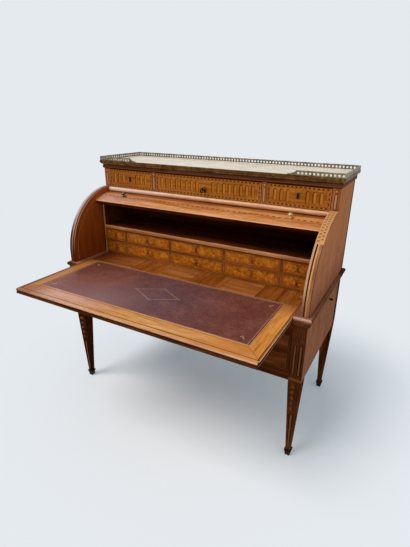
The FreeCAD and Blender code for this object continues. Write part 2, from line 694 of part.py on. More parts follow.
def make_cover():
    """The rolling cover: curved shell, lip rail, knobs and the two iron arms that carry it."""
    lip_end = cover_open_angle + lip_span
    far_end = cover_open_angle + cover_span
    shell = cover_sector(cover_inner, cover_radius, lip_end, far_end, -cover_half, cover_half)
    nodes["cylinder_shell"] = [shell]
    lip = cover_sector(cover_inner - lip_extra, cover_radius + lip_extra, cover_open_angle, lip_end,
                       -cover_half, cover_half)
    seat = cover_radius + lip_extra
    angle = cover_open_angle + knob_angle
    outward = at_angle(1, angle) - at_angle(0, angle)
    outline = [
        (knob_shank_radius, 0),
        (knob_shank_radius, knob_shank_length),
        (knob_radius * 0.8, knob_shank_length),
        (knob_radius * 0.8, knob_shank_length + knob_length * 0.1),
        ((knob_radius * 0.35, knob_shank_length + knob_length * 0.25),
         (knob_radius * 0.5, knob_shank_length + knob_length * 0.42)),
        ((knob_radius, knob_shank_length + knob_length * 0.65),
         (knob_radius * 0.7, knob_shank_length + knob_length * 0.9)),
        (knob_radius * 0.3, knob_shank_length + knob_length),
        (0, knob_shank_length + knob_length),
    ]
    knobs = []
    for x in (-knob_x, knob_x):
        base = at_angle(seat + seat_gap - knob_shank_length, angle, x)
        knobs.append(turned(outline, base, outward))
        lip = lip.cut(cylinder(knob_shank_radius + fit_gap, base - outward * fit_gap,
                               base + outward * (knob_shank_length + lip_extra)))
    nodes["cylinder_lip_rail"] = [lip]
    nodes["cylinder_knobs"] = knobs
    nodes["cylinder_arms"] = pair(cover_arm(cover_open_angle + (lip_span + cover_span) / 2))


def cover_arm(middle):
    """One iron arm: a hub on the pivot pin, two spokes and a rim under the curved shell."""
    slot = nest_half + cheek_thickness
    x0 = (slot + inner_half - arm_thickness) / 2
    x1 = x0 + arm_thickness
    rim_out = cover_inner - seat_gap
    rim_in = rim_out - arm_rim_width
    arm = cylinder(arm_hub_radius, V(x0, pivot_y, pivot_z), V(x1, pivot_y, pivot_z))
    parts = [cover_sector(rim_in, rim_out, middle - arm_rim_span / 2, middle + arm_rim_span / 2, x0, x1)]
    lean = arm_rim_span / 2 - math.degrees(arm_spoke_width / 2 / rim_in)
    for angle in (middle - lean, middle + lean):
        along = at_angle(1, angle) - at_angle(0, angle)
        across = V(0, -along.z, along.y) * (arm_spoke_width / 2)
        start = at_angle(arm_hub_radius / 2, angle, x0)
        end = at_angle((rim_in + rim_out) / 2, angle, x0)
        spoke = [start - across, end - across, end + across, start + across]
        parts.append(prism(spoke, V(arm_thickness, 0, 0)))
    arm = arm.fuse(parts).removeSplitter()
    return arm.cut(cylinder(pin_radius + fit_gap, V(x0, pivot_y, pivot_z), V(x1, pivot_y, pivot_z)))


def make_slide():
    """The writing slide: middle board, three mitred bands, a front nosing and the leather."""
    panel = block(-leather_half, leather_half, leather_front_y, slide_back_y, slide_bottom, writing_height)
    leather = block(-leather_half, leather_half, leather_front_y, leather_front_y + leather_depth,
                    writing_height - leather_thickness, writing_height)
    nodes["slide_panel"] = [panel.cut(leather)]
    nodes["slide_leather"] = [leather]
    rise = V(0, 0, slide_thickness)
    z = slide_bottom
    front = prism([V(-half_slide, band_front_y, z), V(half_slide, band_front_y, z),
                   V(leather_half, leather_front_y, z), V(-leather_half, leather_front_y, z)], rise)
    right = prism([V(half_slide, band_front_y, z), V(half_slide, slide_back_y, z),
                   V(leather_half, slide_back_y, z), V(leather_half, leather_front_y, z)], rise)
    long_edges = [edge for edge in right.Edges
                  if abs(edge.CenterOfMass.x - half_slide) < near and edge.Length > slide_thickness + near]
    right = right.makeFillet(slide_edge_rounding, long_edges)
    nodes["slide_bands"] = [front] + pair(right)
    nodes["slide_nosing"] = [slide_nosing()]


def slide_nosing():
    """The front edge of the slide: two half-round beads with a groove between them."""
    x = -half_slide
    root = slide_front_y + slide_nosing_depth
    bead = slide_thickness / 4
    groove_y = slide_front_y + bead + nosing_groove_depth
    beads = [block(x, half_slide, groove_y, root, slide_bottom, writing_height)]
    for height in (slide_bottom + bead, writing_height - bead):
        middle = V(x, slide_front_y + bead, height)
        beads.append(cylinder(bead, middle, middle + V(2 * half_slide, 0, 0)))
        beads.append(block(x, half_slide, slide_front_y + bead, root, height - bead, height + bead))
    return beads[0].fuse(beads[1:]).removeSplitter()


def make_lower_drawers():
    heights = {
        "lower": (bottom_board_top, middle_board_bottom),
        "upper": (middle_board_top, top_board_bottom),
    }
    for row, (z0, z1) in heights.items():
        boards = drawer(pedestal_inner, post_inner, z0, z1, 0, lower_drawer_length,
                        large_front_thickness, large_board)
        nodes["pedestal_drawer_right_" + row] = list(boards.values())
        nodes["pedestal_drawer_left_" + row] = [mirrored(board) for board in boards.values()]
    z0, z1 = heights["upper"]
    boards = drawer(-half_knee, half_knee, z0, z1, 0, lower_drawer_length, large_front_thickness, large_board)
    nodes["knee_drawer"] = list(boards.values())


def make_side_slides():
    board = block(side_slide_inner, half_case, side_slide_front_y, side_slide_back_y,
                  side_slide_bottom, side_slide_top)
    outline = [
        (side_knob_radius * 0.75, 0),
        (side_knob_radius * 0.75, side_knob_length * 0.1),
        ((side_knob_radius * 0.4, side_knob_length * 0.28),
         (side_knob_radius * 0.55, side_knob_length * 0.45)),
        ((side_knob_radius, side_knob_length * 0.7), (side_knob_radius * 0.5, side_knob_length)),
        (0, side_knob_length),
    ]
    middle = V(half_case, (side_slide_front_y + side_slide_back_y) / 2,
               (side_slide_bottom + side_slide_top) / 2)
    knob = turned(outline, middle, V(1, 0, 0))
    nodes["side_slide_right"] = [board, knob]
    nodes["side_slide_left"] = [mirrored(board), mirrored(knob)]


def main():
    make_legs()
    make_lower_case()
    make_waist()
    make_upper_case()
    make_nest()
    make_frieze()
    make_top()
    make_gallery()
    make_cover()
    make_slide()
    make_lower_drawers()
    make_side_slides()
    os.makedirs("parts", exist_ok=True)
    for name, shapes in nodes.items():
        solids = [solid for shape in shapes for solid in shape.Solids]
        node = Part.makeCompound(solids)
        node.translate(V(0, -origin_y, 0))
        node.exportStep("parts/%s.step" % name)


main()
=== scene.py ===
"""Looks of the cylinder desk: finishes of its boards and fittings, and the inlay on them.

Metres, X to the right, Y to the back, Z up from the floor. The desk is stored with its cover
open, its writing slide drawn out and its drawers shut.
"""
import json
import math
from collections import namedtuple

import bmesh
import bpy
from mathutils import Matrix, Vector


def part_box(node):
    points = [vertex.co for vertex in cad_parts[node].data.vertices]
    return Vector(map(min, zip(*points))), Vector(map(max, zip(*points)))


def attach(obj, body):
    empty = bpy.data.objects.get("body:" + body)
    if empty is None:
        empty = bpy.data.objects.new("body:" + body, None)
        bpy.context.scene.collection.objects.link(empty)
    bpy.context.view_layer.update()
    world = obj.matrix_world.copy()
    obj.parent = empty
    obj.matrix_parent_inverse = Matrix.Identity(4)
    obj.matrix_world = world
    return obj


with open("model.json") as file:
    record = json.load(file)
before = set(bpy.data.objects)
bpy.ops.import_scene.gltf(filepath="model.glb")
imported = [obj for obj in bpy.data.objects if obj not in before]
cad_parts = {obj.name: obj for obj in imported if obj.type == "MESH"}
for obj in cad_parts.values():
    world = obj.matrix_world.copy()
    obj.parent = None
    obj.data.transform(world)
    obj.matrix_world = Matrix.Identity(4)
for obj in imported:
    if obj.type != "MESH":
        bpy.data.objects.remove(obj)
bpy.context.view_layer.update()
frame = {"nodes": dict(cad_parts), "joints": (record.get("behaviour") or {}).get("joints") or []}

MM = 0.001
FRONT = Vector((0, -1, 0))
UP = Vector((0, 0, 1))
FACING = 0.9            # a normal with this much along an axis counts as looking along it
SQUARE_ON = 0.99        # and with this much as square to it
SIDES = {"right": 1, "left": -1}

Point = namedtuple("Point", "x y z")
Fade = namedtuple("Fade", "axis start end colour share")


class Box(namedtuple("Box", "x0 x1 y0 y1 z0 z1")):
    """Limits of a thing along X, Y and Z."""

    @property
    def middle(self):
        return Point((self.x0 + self.x1) / 2, (self.y0 + self.y1) / 2, (self.z0 + self.z1) / 2)

    @property
    def front(self):
        """Its limits as seen from the front."""
        return self.x0, self.x1, self.z0, self.z1

    @property
    def plan(self):
        """Its limits as seen from above."""
        return self.x0, self.x1, self.y0, self.y1


# Places read from the frame
def box_of(points):
    xs, ys, zs = zip(*points)
    return Box(min(xs), max(xs), min(ys), max(ys), min(zs), max(zs))


def box(node):
    return box_of(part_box(node))


def face(node, direction):
    """Box of the largest flat part of a node's surface that looks in one direction."""
    mesh = frame["nodes"][node].data
    levels = {}
    for polygon in mesh.polygons:
        if polygon.normal.dot(direction) > SQUARE_ON:
            levels.setdefault(round(polygon.center.dot(direction), 4), []).append(polygon)
    chosen = max(levels.values(), key=lambda group: sum(polygon.area for polygon in group))
    return box_of([mesh.vertices[i].co for polygon in chosen for i in polygon.vertices])


joints = {joint["name"]: joint for joint in frame["joints"]}
pivot = Vector(joints["cover_roll"]["pos_m"])


def reach(node):
    """Largest distance of a node from the axis of the rolling cover."""
    return max(math.hypot(v.co.y - pivot.y, v.co.z - pivot.z) for v in frame["nodes"][node].data.vertices)


# Surfaces that carry inlay: each turns (across, along, height above the surface) into a place
def front_surface(y):
    return lambda u, v, h: Vector((u, y - h, v))


def top_surface(z):
    return lambda u, v, h: Vector((u, v, z + h))


def side_surface(x, out):
    """A flat side at x that looks along X, to the right where out is 1 and to the left where it is -1."""
    return lambda u, v, h: Vector((x + out * h, u, v))


def drum_surface(radius):
    """A surface round the cover's axis: u is X, and v the angle above the front horizontal."""
    def place(u, v, h):
        angle = math.radians(v)
        r = radius + h
        return Vector((u, pivot.y - r * math.cos(angle), pivot.z + r * math.sin(angle)))
    return place


def fan_surface(x, out):
    """A flat side in polar form: u is the angle about the cover's axis and v the distance from it."""
    def place(u, v, h):
        angle = math.radians(u)
        return Vector((x + out * h, pivot.y - v * math.cos(angle), pivot.z + v * math.sin(angle)))
    return place


# Outlines of inlaid pieces
def rectangle(u0, u1, v0, v1):
    return [(u0, v0), (u1, v0), (u1, v1), (u0, v1)]


def disc(u, v, radius, sides=14):
    turns = [2 * math.pi * i / sides for i in range(sides)]
    return [(u + radius * math.cos(t), v + radius * math.sin(t)) for t in turns]


def oval(u, v, half_u, half_v, sides=12):
    return [(u + half_u * a, v + half_v * b) for a, b in disc(0, 0, 1, sides)]


def lozenge(u, v, half_u, half_v):
    return [(u - half_u, v), (u, v - half_v), (u + half_u, v), (u, v + half_v)]


def flute(u, v0, v1, half, steps=8):
    """An upright bar with a round head and a round foot."""
    arc = [math.pi * i / steps for i in range(steps + 1)]
    head = [(u + half * math.cos(t), v1 - half + half * math.sin(t)) for t in arc]
    return [(u - half * math.cos(t), v0 + half - half * math.sin(t)) for t in arc] + head


def leaf(u, v, length, width, lean, steps=7):
    """A pointed leaf whose stalk is at (u, v), leaning by an angle from straight down."""
    turn = math.radians(lean)
    side = [(width / 2 * math.sin(math.pi * i / steps) ** 0.8, length * i / steps) for i in range(1, steps)]
    outline = [(0, 0)] + side + [(0, length)] + [(-a, b) for a, b in reversed(side)]
    return [(u + a * math.cos(turn) + b * math.sin(turn), v + a * math.sin(turn) - b * math.cos(turn))
            for a, b in outline]


def segment(start, end, width):
    """A straight line of the given width between two points."""
    du = end[0] - start[0]
    dv = end[1] - start[1]
    scale = width / 2 / math.hypot(du, dv)
    a = -dv * scale
    b = du * scale
    return [(start[0] - a, start[1] - b), (end[0] - a, end[1] - b),
            (end[0] + a, end[1] + b), (start[0] + a, start[1] + b)]


def border(u0, u1, v0, v1, inset, width):
    """Four mitred lengths of a line that runs round a rectangle, inset from its edges."""
    outer = rectangle(u0 + inset, u1 - inset, v0 + inset, v1 - inset)
    far = inset + width
    inner = rectangle(u0 + far, u1 - far, v0 + far, v1 - far)
    return [[outer[i], outer[(i + 1) % 4], inner[(i + 1) % 4], inner[i]] for i in range(4)]


def places_along(start, end, pitch):
    """Evenly spaced places inside a run, half a pitch or so from its ends."""
    count = max(1, round((end - start) / pitch))
    step = (end - start) / count
    return [start + step * (i + 0.5) for i in range(count)]


class Marquetry:
    """Thin inlaid pieces that ride on one body, gathered into one mesh."""
    step = 0.12 * MM        # height of each level over the one below
    root = 0.3 * MM         # depth of a piece in its board

    def __init__(self, name, body, slot):
        self.name = name
        self.body = body
        self.slot = slot
        self.mesh = bmesh.new()
        self.materials = []

    def paint(self, faces, material):
        if material not in self.materials:
            self.materials.append(material)
        for made in faces:
            made.material_index = self.materials.index(material)

    def piece(self, outline, material, place, level=1):
        """A flat piece. A piece on a higher level lies over those below it."""
        make = self.mesh.verts.new
        top = [make(place(u, v, level * self.step)) for u, v in outline]
        low = [make(place(u, v, -self.root)) for u, v in outline]
        count = len(outline)
        faces = [self.mesh.faces.new(top), self.mesh.faces.new(low[::-1])]
        for i in range(count):
            j = (i + 1) % count
            faces.append(self.mesh.faces.new([top[j], top[i], low[i], low[j]]))
        self.paint(faces, material)

    def pieces(self, outlines, material, place, level=1):
        for outline in outlines:
            self.piece(outline, material, place, level)

    def strip(self, u0, u1, v0, v1, material, place, level=1, steps=24):
        """A long piece on a curved surface, bent along v in steps."""
        rows = []
        for i in range(steps + 1):
            v = v0 + (v1 - v0) * i / steps
            corners = ((u0, level * self.step), (u1, level * self.step), (u1, -self.root), (u0, -self.root))
            rows.append([self.mesh.verts.new(place(u, v, h)) for u, h in corners])
        faces = [self.mesh.faces.new(rows[0]), self.mesh.faces.new(rows[-1][::-1])]
        for row, following in zip(rows, rows[1:]):
            for i in range(4):
                j = (i + 1) % 4
                faces.append(self.mesh.faces.new([row[i], following[i], following[j], row[j]]))
        self.paint(faces, material)

    def bands(self, span, place, *rows):
        """Lines round a rectangle, each given by its inset and width in mm, its material and its level."""
        for inset, width, material, level in rows:
            self.pieces(border(*span, inset * MM, width * MM), material, place, level)

    def build(self):
        bmesh.ops.recalc_face_normals(self.mesh, faces=self.mesh.faces)
        return finish_piece(self.mesh, self.name, self.body, self.materials)


def add(name, data):
    """Put a new object with the given data into the scene."""
    made = bpy.data.objects.new(name, data)
    bpy.context.scene.collection.objects.link(made)
    return made


def finish_piece(mesh, name, body, materials, smooth_angle=None):
    """Turn a bmesh into an object that rides on a body."""
    data = bpy.data.meshes.new(name)
    mesh.to_mesh(data)
    mesh.free()
    for material in materials:
        data.materials.append(material)
    if smooth_angle is not None:
        data.shade_smooth()
        data.set_sharp_from_angle(angle=math.radians(smooth_angle))
    made = add(name, data)
    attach(made, body)
    return made


# Materials
def srgb(red, green, blue):
    """A colour as it shows on a screen, from 0 to 255, turned into a value for the shader's sockets."""
    linear = [((c / 255 + 0.055) / 1.055) ** 2.4 if c > 10 else c / 255 / 12.92 for c in (red, green, blue)]
    return (*linear, 1.0)


class Nodes:
    """A node tree, built call by call."""

    def __init__(self, tree):
        self.tree = tree

    def feed(self, socket, value):
        if isinstance(value, bpy.types.NodeSocket):
            self.tree.links.new(value, socket)
        else:
            socket.default_value = value

    def node(self, kind, inputs=None, **settings):
        made = self.tree.nodes.new("ShaderNode" + kind)
        for key, value in settings.items():
            setattr(made, key, value)
        for key, value in (inputs or {}).items():
            self.feed(made.inputs[key], value)
        return made

    def math(self, operation, a, b=0.0, clamp=False):
        return self.node("Math", {0: a, 1: b}, operation=operation, use_clamp=clamp).outputs[0]

    def seen_ray(self):
        """1 on rays from the camera and on those that mirror or pass through things, else 0."""
        path = self.node("LightPath").outputs
        seen = path["Is Camera Ray"]
        for other in ("Is Glossy Ray", "Is Transmission Ray"):
            seen = self.math("MAXIMUM", seen, path[other])
        return seen


class Shader(Nodes):
    """A material, made from noise in the object's own place."""

    def __init__(self, name):
        self.material = bpy.data.materials.new(name)
        self.material.use_nodes = True
        super().__init__(self.material.node_tree)
        self.surface = self.tree.nodes["Principled BSDF"]
        self.coords = self.node("TexCoord").outputs["Object"]
        self.random = self.math("MULTIPLY", self.node("ObjectInfo").outputs["Random"], 20.0)

    def set(self, **values):
        for key, value in values.items():
            self.feed(self.surface.inputs[key.replace("_", " ")], value)

    def weigh(self, *parts):
        """Sum of values, each with its weight."""
        total = 0.0
        for value, weight in parts:
            total = self.node("Math", {0: value, 1: weight, 2: total}, operation="MULTIPLY_ADD").outputs[0]
        return total

    def blend(self, factor, a, b, mode="MIX"):
        mix = self.node("Mix", {0: factor, 6: a, 7: b}, data_type="RGBA", blend_type=mode)
        return mix.outputs[2]

    def stretched(self, stretch):
        return self.node("Mapping", {"Vector": self.coords, "Scale": stretch}).outputs[0]

    def axis(self, name):
        """Place along one axis."""
        return self.node("SeparateXYZ", {0: self.coords}).outputs[name]

    def distance(self, a, b):
        return self.node("VectorMath", {0: a, 1: b}, operation="DISTANCE").outputs["Value"]

    def noise(self, scale, stretch=(1, 1, 1), detail=3.0, distortion=0.0, roughness=0.55):
        """Noise in the object's own place, different on each object, pressed together along stretch."""
        inputs = {"Vector": self.stretched(stretch), "W": self.random, "Scale": scale, "Detail": detail,
                  "Roughness": roughness, "Distortion": distortion}
        return self.node("TexNoise", inputs, noise_dimensions="4D").outputs[0]

    def spots(self, scale, stretch=(1, 1, 1)):
        inputs = {"Vector": self.stretched(stretch), "Scale": scale}
        return self.node("TexVoronoi", inputs).outputs["Distance"]

    def range(self, value, low, high, to_low=0.0, to_high=1.0):
        made = self.node("MapRange", {"Value": value, "From Min": low, "From Max": high,
                                      "To Min": to_low, "To Max": to_high})
        return made.outputs[0]

    def ramp(self, value, *stops):
        made = self.node("ValToRGB", {0: value})
        ramp = made.color_ramp
        while len(ramp.elements) < len(stops):
            ramp.elements.new(0.5)
        for element, (position, colour) in zip(ramp.elements, stops):
            element.position = position
            element.color = colour
        return made.outputs[0]

    def done(self, colour, rough, specular, height, strength, depth, normal=None, metallic=0.0):
        """Set the surface, with a bump of the given height, and hand over the material."""
        bump = {"Height": height, "Strength": strength, "Distance": depth}
        if normal is not None:
            bump["Normal"] = normal
        self.set(Base_Color=colour, Roughness=rough, Specular_IOR_Level=specular, Metallic=metallic,
                 Normal=self.node("Bump", bump).outputs[0])
        return self.material

    def soft_edges(self, radius):
        """Normals rounded over sharp edges, and how far they turn there."""
        rounded = self.node("Bevel", {"Radius": radius}, samples=3).outputs[0]
        flat = self.node("NewGeometry").outputs["Normal"]
        along = self.node("VectorMath", {0: rounded, 1: flat}, operation="DOT_PRODUCT").outputs["Value"]
        return rounded, self.math("SUBTRACT", 1.0, along, clamp=True)


LONG = 0.07             # scale of noise along the grain, where it is 1 across it
GRAIN = {"X": (LONG, 1, 1), "Y": (1, LONG, 1), "Z": (1, 1, LONG)}


def linear(*colours):
    """Several screen colours at once."""
    return [srgb(*colour) for colour in colours]


def wood(name, dark, mid, light, grain="X", gloss=0.34, specular=0.0, figure=22.0, spread=0.11, fades=()):
    """Polished veneer: ribbons and fibres along the grain, pores, old wax in patches, and edges made
    lighter, partly for wear from rubbing and partly as a painted highlight.

    Each of fades turns the veneer to its colour, by its share, from its start to its end along an axis.
    """
    dark, mid, light = linear(dark, mid, light)
    shader = Shader(name)
    stretch = GRAIN[grain]
    ribbon = shader.noise(figure, stretch, 3.0, 0.8)
    fibre = shader.noise(figure * 9, stretch, 4.0, 0.2)
    drift = shader.noise(4.5, [min(1, 3 * s) for s in stretch], 2.0)
    pores = shader.range(shader.noise(figure * 30, stretch, 1.0), 0.60, 0.72)
    tone = shader.weigh((ribbon, 0.5), (fibre, 0.28), (drift, 0.22))
    colour = shader.ramp(tone, (0.5 - spread, dark), (0.5, mid), (0.5 + spread, light))
    for fade in fades:
        uneven = shader.weigh((shader.axis(fade.axis), 1.0), (ribbon, 0.06))
        share = shader.range(uneven, fade.start, fade.end, 0.0, fade.share)
        colour = shader.blend(share, colour, srgb(*fade.colour))
    colour = shader.blend(shader.math("MULTIPLY", pores, 0.45), colour, dark)
    mottle = shader.noise(figure * 2.2, [min(1, 5 * s) for s in stretch], 3.0, 0.6)
    colour = shader.blend(shader.range(mottle, 0.5, 0.68, 0.0, 0.3), colour, dark)
    patina = shader.range(shader.noise(9.0, (1, 1, 1), 4.0, 1.0), 0.52, 0.75, 0.0, 0.30)
    colour = shader.blend(patina, colour, dark)
    rounded, edge = shader.soft_edges(1.2 * MM)
    # Lighter over sharp edges: partly wear from rubbing, partly a painted highlight.
    colour = shader.blend(shader.math("MULTIPLY", edge, 1.2, clamp=True), colour, light)
    rough = shader.range(shader.math("ADD", drift, fibre), 0.8, 1.2, gloss - 0.05, gloss + 0.09)
    relief = shader.math("SUBTRACT", fibre, pores)
    return shader.done(colour, rough, specular, relief, 0.10, 0.3 * MM, rounded)


def burr(name, dark, mid, light):
    """Burr veneer: swirling figure with small dark eyes."""
    dark, mid, light = linear(dark, mid, light)
    shader = Shader(name)
    swirl = shader.noise(26.0, (1, 1, 1), 5.0, 2.2)
    fine = shader.noise(150.0, (0.5, 1, 1), 3.0, 1.0)
    eyes = shader.range(shader.spots(95.0), 0.08, 0.22, 0.55, 0.0)
    tone = shader.weigh((swirl, 0.7), (fine, 0.3))
    colour = shader.ramp(tone, (0.36, dark), (0.50, mid), (0.63, light))
    colour = shader.blend(eyes, colour, dark)
    rounded, edge = shader.soft_edges(0.9 * MM)
    # Lighter over sharp edges: partly wear from rubbing, partly a painted highlight.
    colour = shader.blend(shader.math("MULTIPLY", edge, 1.2, clamp=True), colour, light)
    rough = shader.range(fine, 0.3, 0.7, 0.30, 0.44)
    return shader.done(colour, rough, 0.15, fine, 0.08, 0.2 * MM, rounded)


def inlay_wood(name, dark, light, grain="Z", specular=0.0, lower=None):
    """Small pieces of one veneer, each a little different from the next.

    lower gives another colour for the part near the ground, and the heights where it starts and is full:
    painted shade near the foot.
    """
    dark, light = linear(dark, light)
    shader = Shader(name)
    fibre = shader.noise(260.0, GRAIN[grain], 3.0)
    island = shader.node("NewGeometry").outputs["Random Per Island"]
    tone = shader.weigh((fibre, 0.7), (island, 0.3))
    colour = shader.ramp(tone, (0.30, dark), (0.75, light))
    if lower:
        tint, high, low = lower
        uneven = shader.weigh((shader.axis("Z"), 1.0), (fibre, 0.02))
        colour = shader.blend(shader.range(uneven, high, low), colour, srgb(*tint))
    rough = shader.range(fibre, 0.3, 0.7, 0.30, 0.44)
    return shader.done(colour, rough, specular, fibre, 0.06, 0.2 * MM)


def metal(name, tarnish, body, bright, roughness, patina=0.55, metallic=0.9, specular=0.5):
    """Old metal: a dark tarnish in patches over it, lighter on its edges partly from rubbing and partly as
    a painted highlight, with fine scratches.
    """
    tarnish, body, bright = linear(tarnish, body, bright)
    shader = Shader(name)
    cloud = shader.noise(38.0, (1, 1, 1), 5.0, 0.6)
    speck = shader.noise(420.0, (1, 1, 1), 2.0)
    scratch = shader.noise(500.0, (0.08, 1, 0.6), 1.0)
    rounded, edge = shader.soft_edges(0.8 * MM)
    tone = shader.weigh((cloud, 0.8), (speck, 0.2))
    colour = shader.ramp(tone, (patina - 0.18, tarnish), (patina, body), (patina + 0.22, bright))
    # Lighter on edges: partly wear from rubbing, partly a painted highlight.
    colour = shader.blend(shader.math("MULTIPLY", edge, 1.6, clamp=True), colour, bright)
    rough = shader.range(tone, 0.3, 0.7, roughness + 0.14, roughness - 0.04)
    relief = shader.math("ADD", speck, scratch)
    return shader.done(colour, rough, specular, relief, 0.10, 0.15 * MM, rounded, metallic)


def marble(name):
    """Cream marble with soft clouds and a few grey-brown veins."""
    shader = Shader(name)
    cloud = shader.noise(6.0, (0.5, 1, 1), 5.0, 0.8)
    drift = shader.noise(5.0, (0.6, 1, 1), 6.0, 1.6)
    from_vein = shader.math("ABSOLUTE", shader.math("SUBTRACT", drift, 0.5))
    vein = shader.range(from_vein, 0.0, 0.025, 0.30, 0.0)
    colour = shader.ramp(cloud, (0.35, srgb(240, 219, 188)), (0.52, srgb(252, 238, 212)),
                         (0.68, srgb(255, 251, 236)))
    colour = shader.blend(vein, colour, srgb(178, 160, 140))
    rough = shader.range(cloud, 0.3, 0.7, 0.22, 0.34)
    return shader.done(colour, rough, 0.4, cloud, 0.03, 0.3 * MM)


def leather(name, painted_sheen_middle, painted_shadow_corner, painted_sheen_place):
    """Writing leather, red brown, with scratches, a bluish painted sheen round its middle, a paler painted
    sheen to the left and near the front, and a painted shadow in its rear left corner.
    """
    shader = Shader(name)
    cloud = shader.noise(5.5, (1, 1, 1), 5.0, 0.7)
    blotch = shader.noise(24.0, (1, 1, 1), 4.0, 0.8)
    fine = shader.noise(120.0, (1, 1, 1), 3.0)
    grain = shader.spots(620.0)
    scratch = shader.range(shader.noise(70.0, (0.12, 1, 1), 2.0, 1.4), 0.66, 0.74)
    tone = shader.weigh((cloud, 0.30), (blotch, 0.30), (fine, 0.40))
    # Bluish tones for the painted sheen round the middle, red browns, and paler tones for the painted sheen
    # on the left.
    cool_tones = linear((96, 64, 66), (112, 77, 80), (128, 92, 94))
    warm_tones = linear((98, 50, 42), (118, 66, 56), (138, 84, 70))
    pale_tones = linear((124, 72, 62), (146, 92, 80), (164, 110, 96))
    cool, warm, pale = [shader.ramp(tone, *zip((0.40, 0.50, 0.60), tones))
                        for tones in (cool_tones, warm_tones, pale_tones)]
    # Paler towards the left: painted sheen.
    across = shader.weigh((shader.axis("X"), 1.0), (blotch, 0.2))
    warm = shader.blend(shader.range(across, -0.40, 0.0), pale, warm)
    flat = shader.node("VectorMath", {0: shader.coords, 1: (1, 1, 0)}, operation="MULTIPLY").outputs[0]
    # Distance from the middle of the bluish painted sheen.
    rubbed = shader.weigh((shader.distance(flat, painted_sheen_middle), 1.0), (blotch, 0.25), (cloud, 0.25))
    colour = shader.blend(shader.range(rubbed, 0.33, 0.60), cool, warm)
    # A painted shadow in the rear left corner, and a pale painted sheen near the front left.
    for place, tint, full, end in ((painted_shadow_corner, srgb(98, 50, 38), 0.12, 0.40),
                                   (painted_sheen_place, srgb(152, 114, 114), 0.08, 0.30)):
        away = shader.weigh((shader.distance(flat, place), 1.0), (blotch, 0.12))
        colour = shader.blend(shader.range(away, full, end, 0.85, 0.0), colour, tint)
    colour = shader.blend(shader.math("MULTIPLY", scratch, 0.20), colour, srgb(160, 116, 98))
    rough = shader.range(tone, 0.35, 0.65, 0.38, 0.52)
    relief = shader.math("ADD", grain, shader.math("MULTIPLY", scratch, -0.5))
    return shader.done(colour, rough, 0.15, relief, 0.25, 0.25 * MM)


def gilt(name):
    """Gold tooling, rubbed away in places so that the leather shows through."""
    shader = Shader(name)
    wear_and_highlight = shader.range(shader.noise(90.0, (1, 1, 1), 4.0), 0.50, 0.72)
    colour = shader.blend(wear_and_highlight, srgb(204, 152, 130), srgb(150, 98, 86))
    return shader.done(colour, shader.range(wear_and_highlight, 0, 1, 0.35, 0.55), 0.3, wear_and_highlight, 0.1, 0.1 * MM)


# Finishes: colours as on a screen, heights and places in metres
WAXED = 0.12            # specular level of a veneer with wax on it
SIDE = (128, 80, 54), (174, 117, 86), (200, 146, 114)
LOWER_SIDE = (112, 70, 48), (156, 106, 78), (180, 130, 102)
CASE = (46, 19, 7), (78, 38, 15), (106, 60, 27)
GOLD = (118, 58, 8), (168, 93, 17), (200, 127, 40)
BAND = (178, 102, 42), (234, 154, 74), (248, 188, 118)

# The second fade darkens the side near its foot: painted shade.
side_wood = wood("side_veneer", *SIDE, "Z", spread=0.24,
                 fades=[Fade("Z", 0.84, 1.06, (196, 130, 82), 0.6),
                        Fade("Z", 0.90, 0.80, (136, 82, 52), 0.6)])
lower_side_wood = wood("lower_side_veneer", *LOWER_SIDE, "Z", spread=0.24)
inner_side_wood = wood("inner_side_veneer", (100, 40, 8), (144, 66, 18), (170, 90, 34), "Z", spread=0.2,
                       specular=WAXED, fades=[Fade("Z", 0.86, 1.06, (180, 96, 32), 0.6)])
edge_wood = wood("side_edge_veneer", (118, 72, 42), (158, 106, 70), (186, 134, 94), "Z")
case_wood = wood("case_veneer_across", *CASE)
post_wood = wood("case_veneer_upright", *CASE, "Z")
leg_wood = wood("leg_veneer", (50, 20, 8), (84, 42, 18), (114, 66, 32), "Z")
left_leg_painted_shade_wood = wood("leg_veneer_dark", (38, 15, 7), (62, 29, 14), (88, 48, 26), "Z")
waist_end = Fade("Y", 0.42, 0.47, (66, 40, 30), 0.9)
# Lighter and darker copies of the waist veneer: painted highlight on the bead, painted shade on the cove
# and the sides.
waist_wood, waist_painted_highlight, waist_painted_shade, waist_face = [
    wood(name, *tones, "Y", fades=[waist_end]) for name, *tones in (
        ("waist_veneer", (92, 54, 34), (130, 82, 58), (160, 110, 82)),
        ("waist_bead", (120, 74, 52), (160, 106, 80), (190, 138, 110)),
        ("waist_cove", (68, 36, 20), (104, 62, 40), (136, 90, 64)),
        ("waist_face", (84, 50, 32), (120, 78, 54), (150, 104, 76)))]
waist_corner_painted_highlight = wood("waist_corner_painted_highlight", (128, 86, 64), (172, 124, 100), (200, 156, 132), gloss=0.26,
                    specular=WAXED)
# Paler and pinker towards the left: painted sheen.
bead_wood = wood("bead_veneer", (204, 136, 90), (232, 172, 122), (246, 202, 160), gloss=0.2, specular=0.45,
                 fades=[Fade("X", 0.05, -0.45, (248, 216, 200), 0.9)])
frieze_wood = wood("frieze_veneer", *GOLD, figure=34.0, specular=WAXED)
stile_wood = wood("stile_veneer", (112, 56, 24), (158, 90, 44), (190, 122, 68), "Z", specular=WAXED)
top_board_wood = wood("top_board_veneer", (48, 22, 12), (80, 42, 25), (114, 70, 48))
top_end_wood = wood("top_board_end_veneer", (96, 60, 44), (132, 90, 68), (160, 116, 92), "Y")
# Paler and pinker towards the left: painted sheen.
lip_wood = wood("lip_veneer", (176, 102, 48), (224, 150, 86), (242, 184, 124), gloss=0.24, specular=0.6,
                fades=[Fade("X", -0.18, -0.46, (206, 150, 126), 0.75)])
cover_wood = wood("cover_veneer_curved", (120, 60, 24), (170, 100, 46), (196, 130, 70), specular=WAXED)
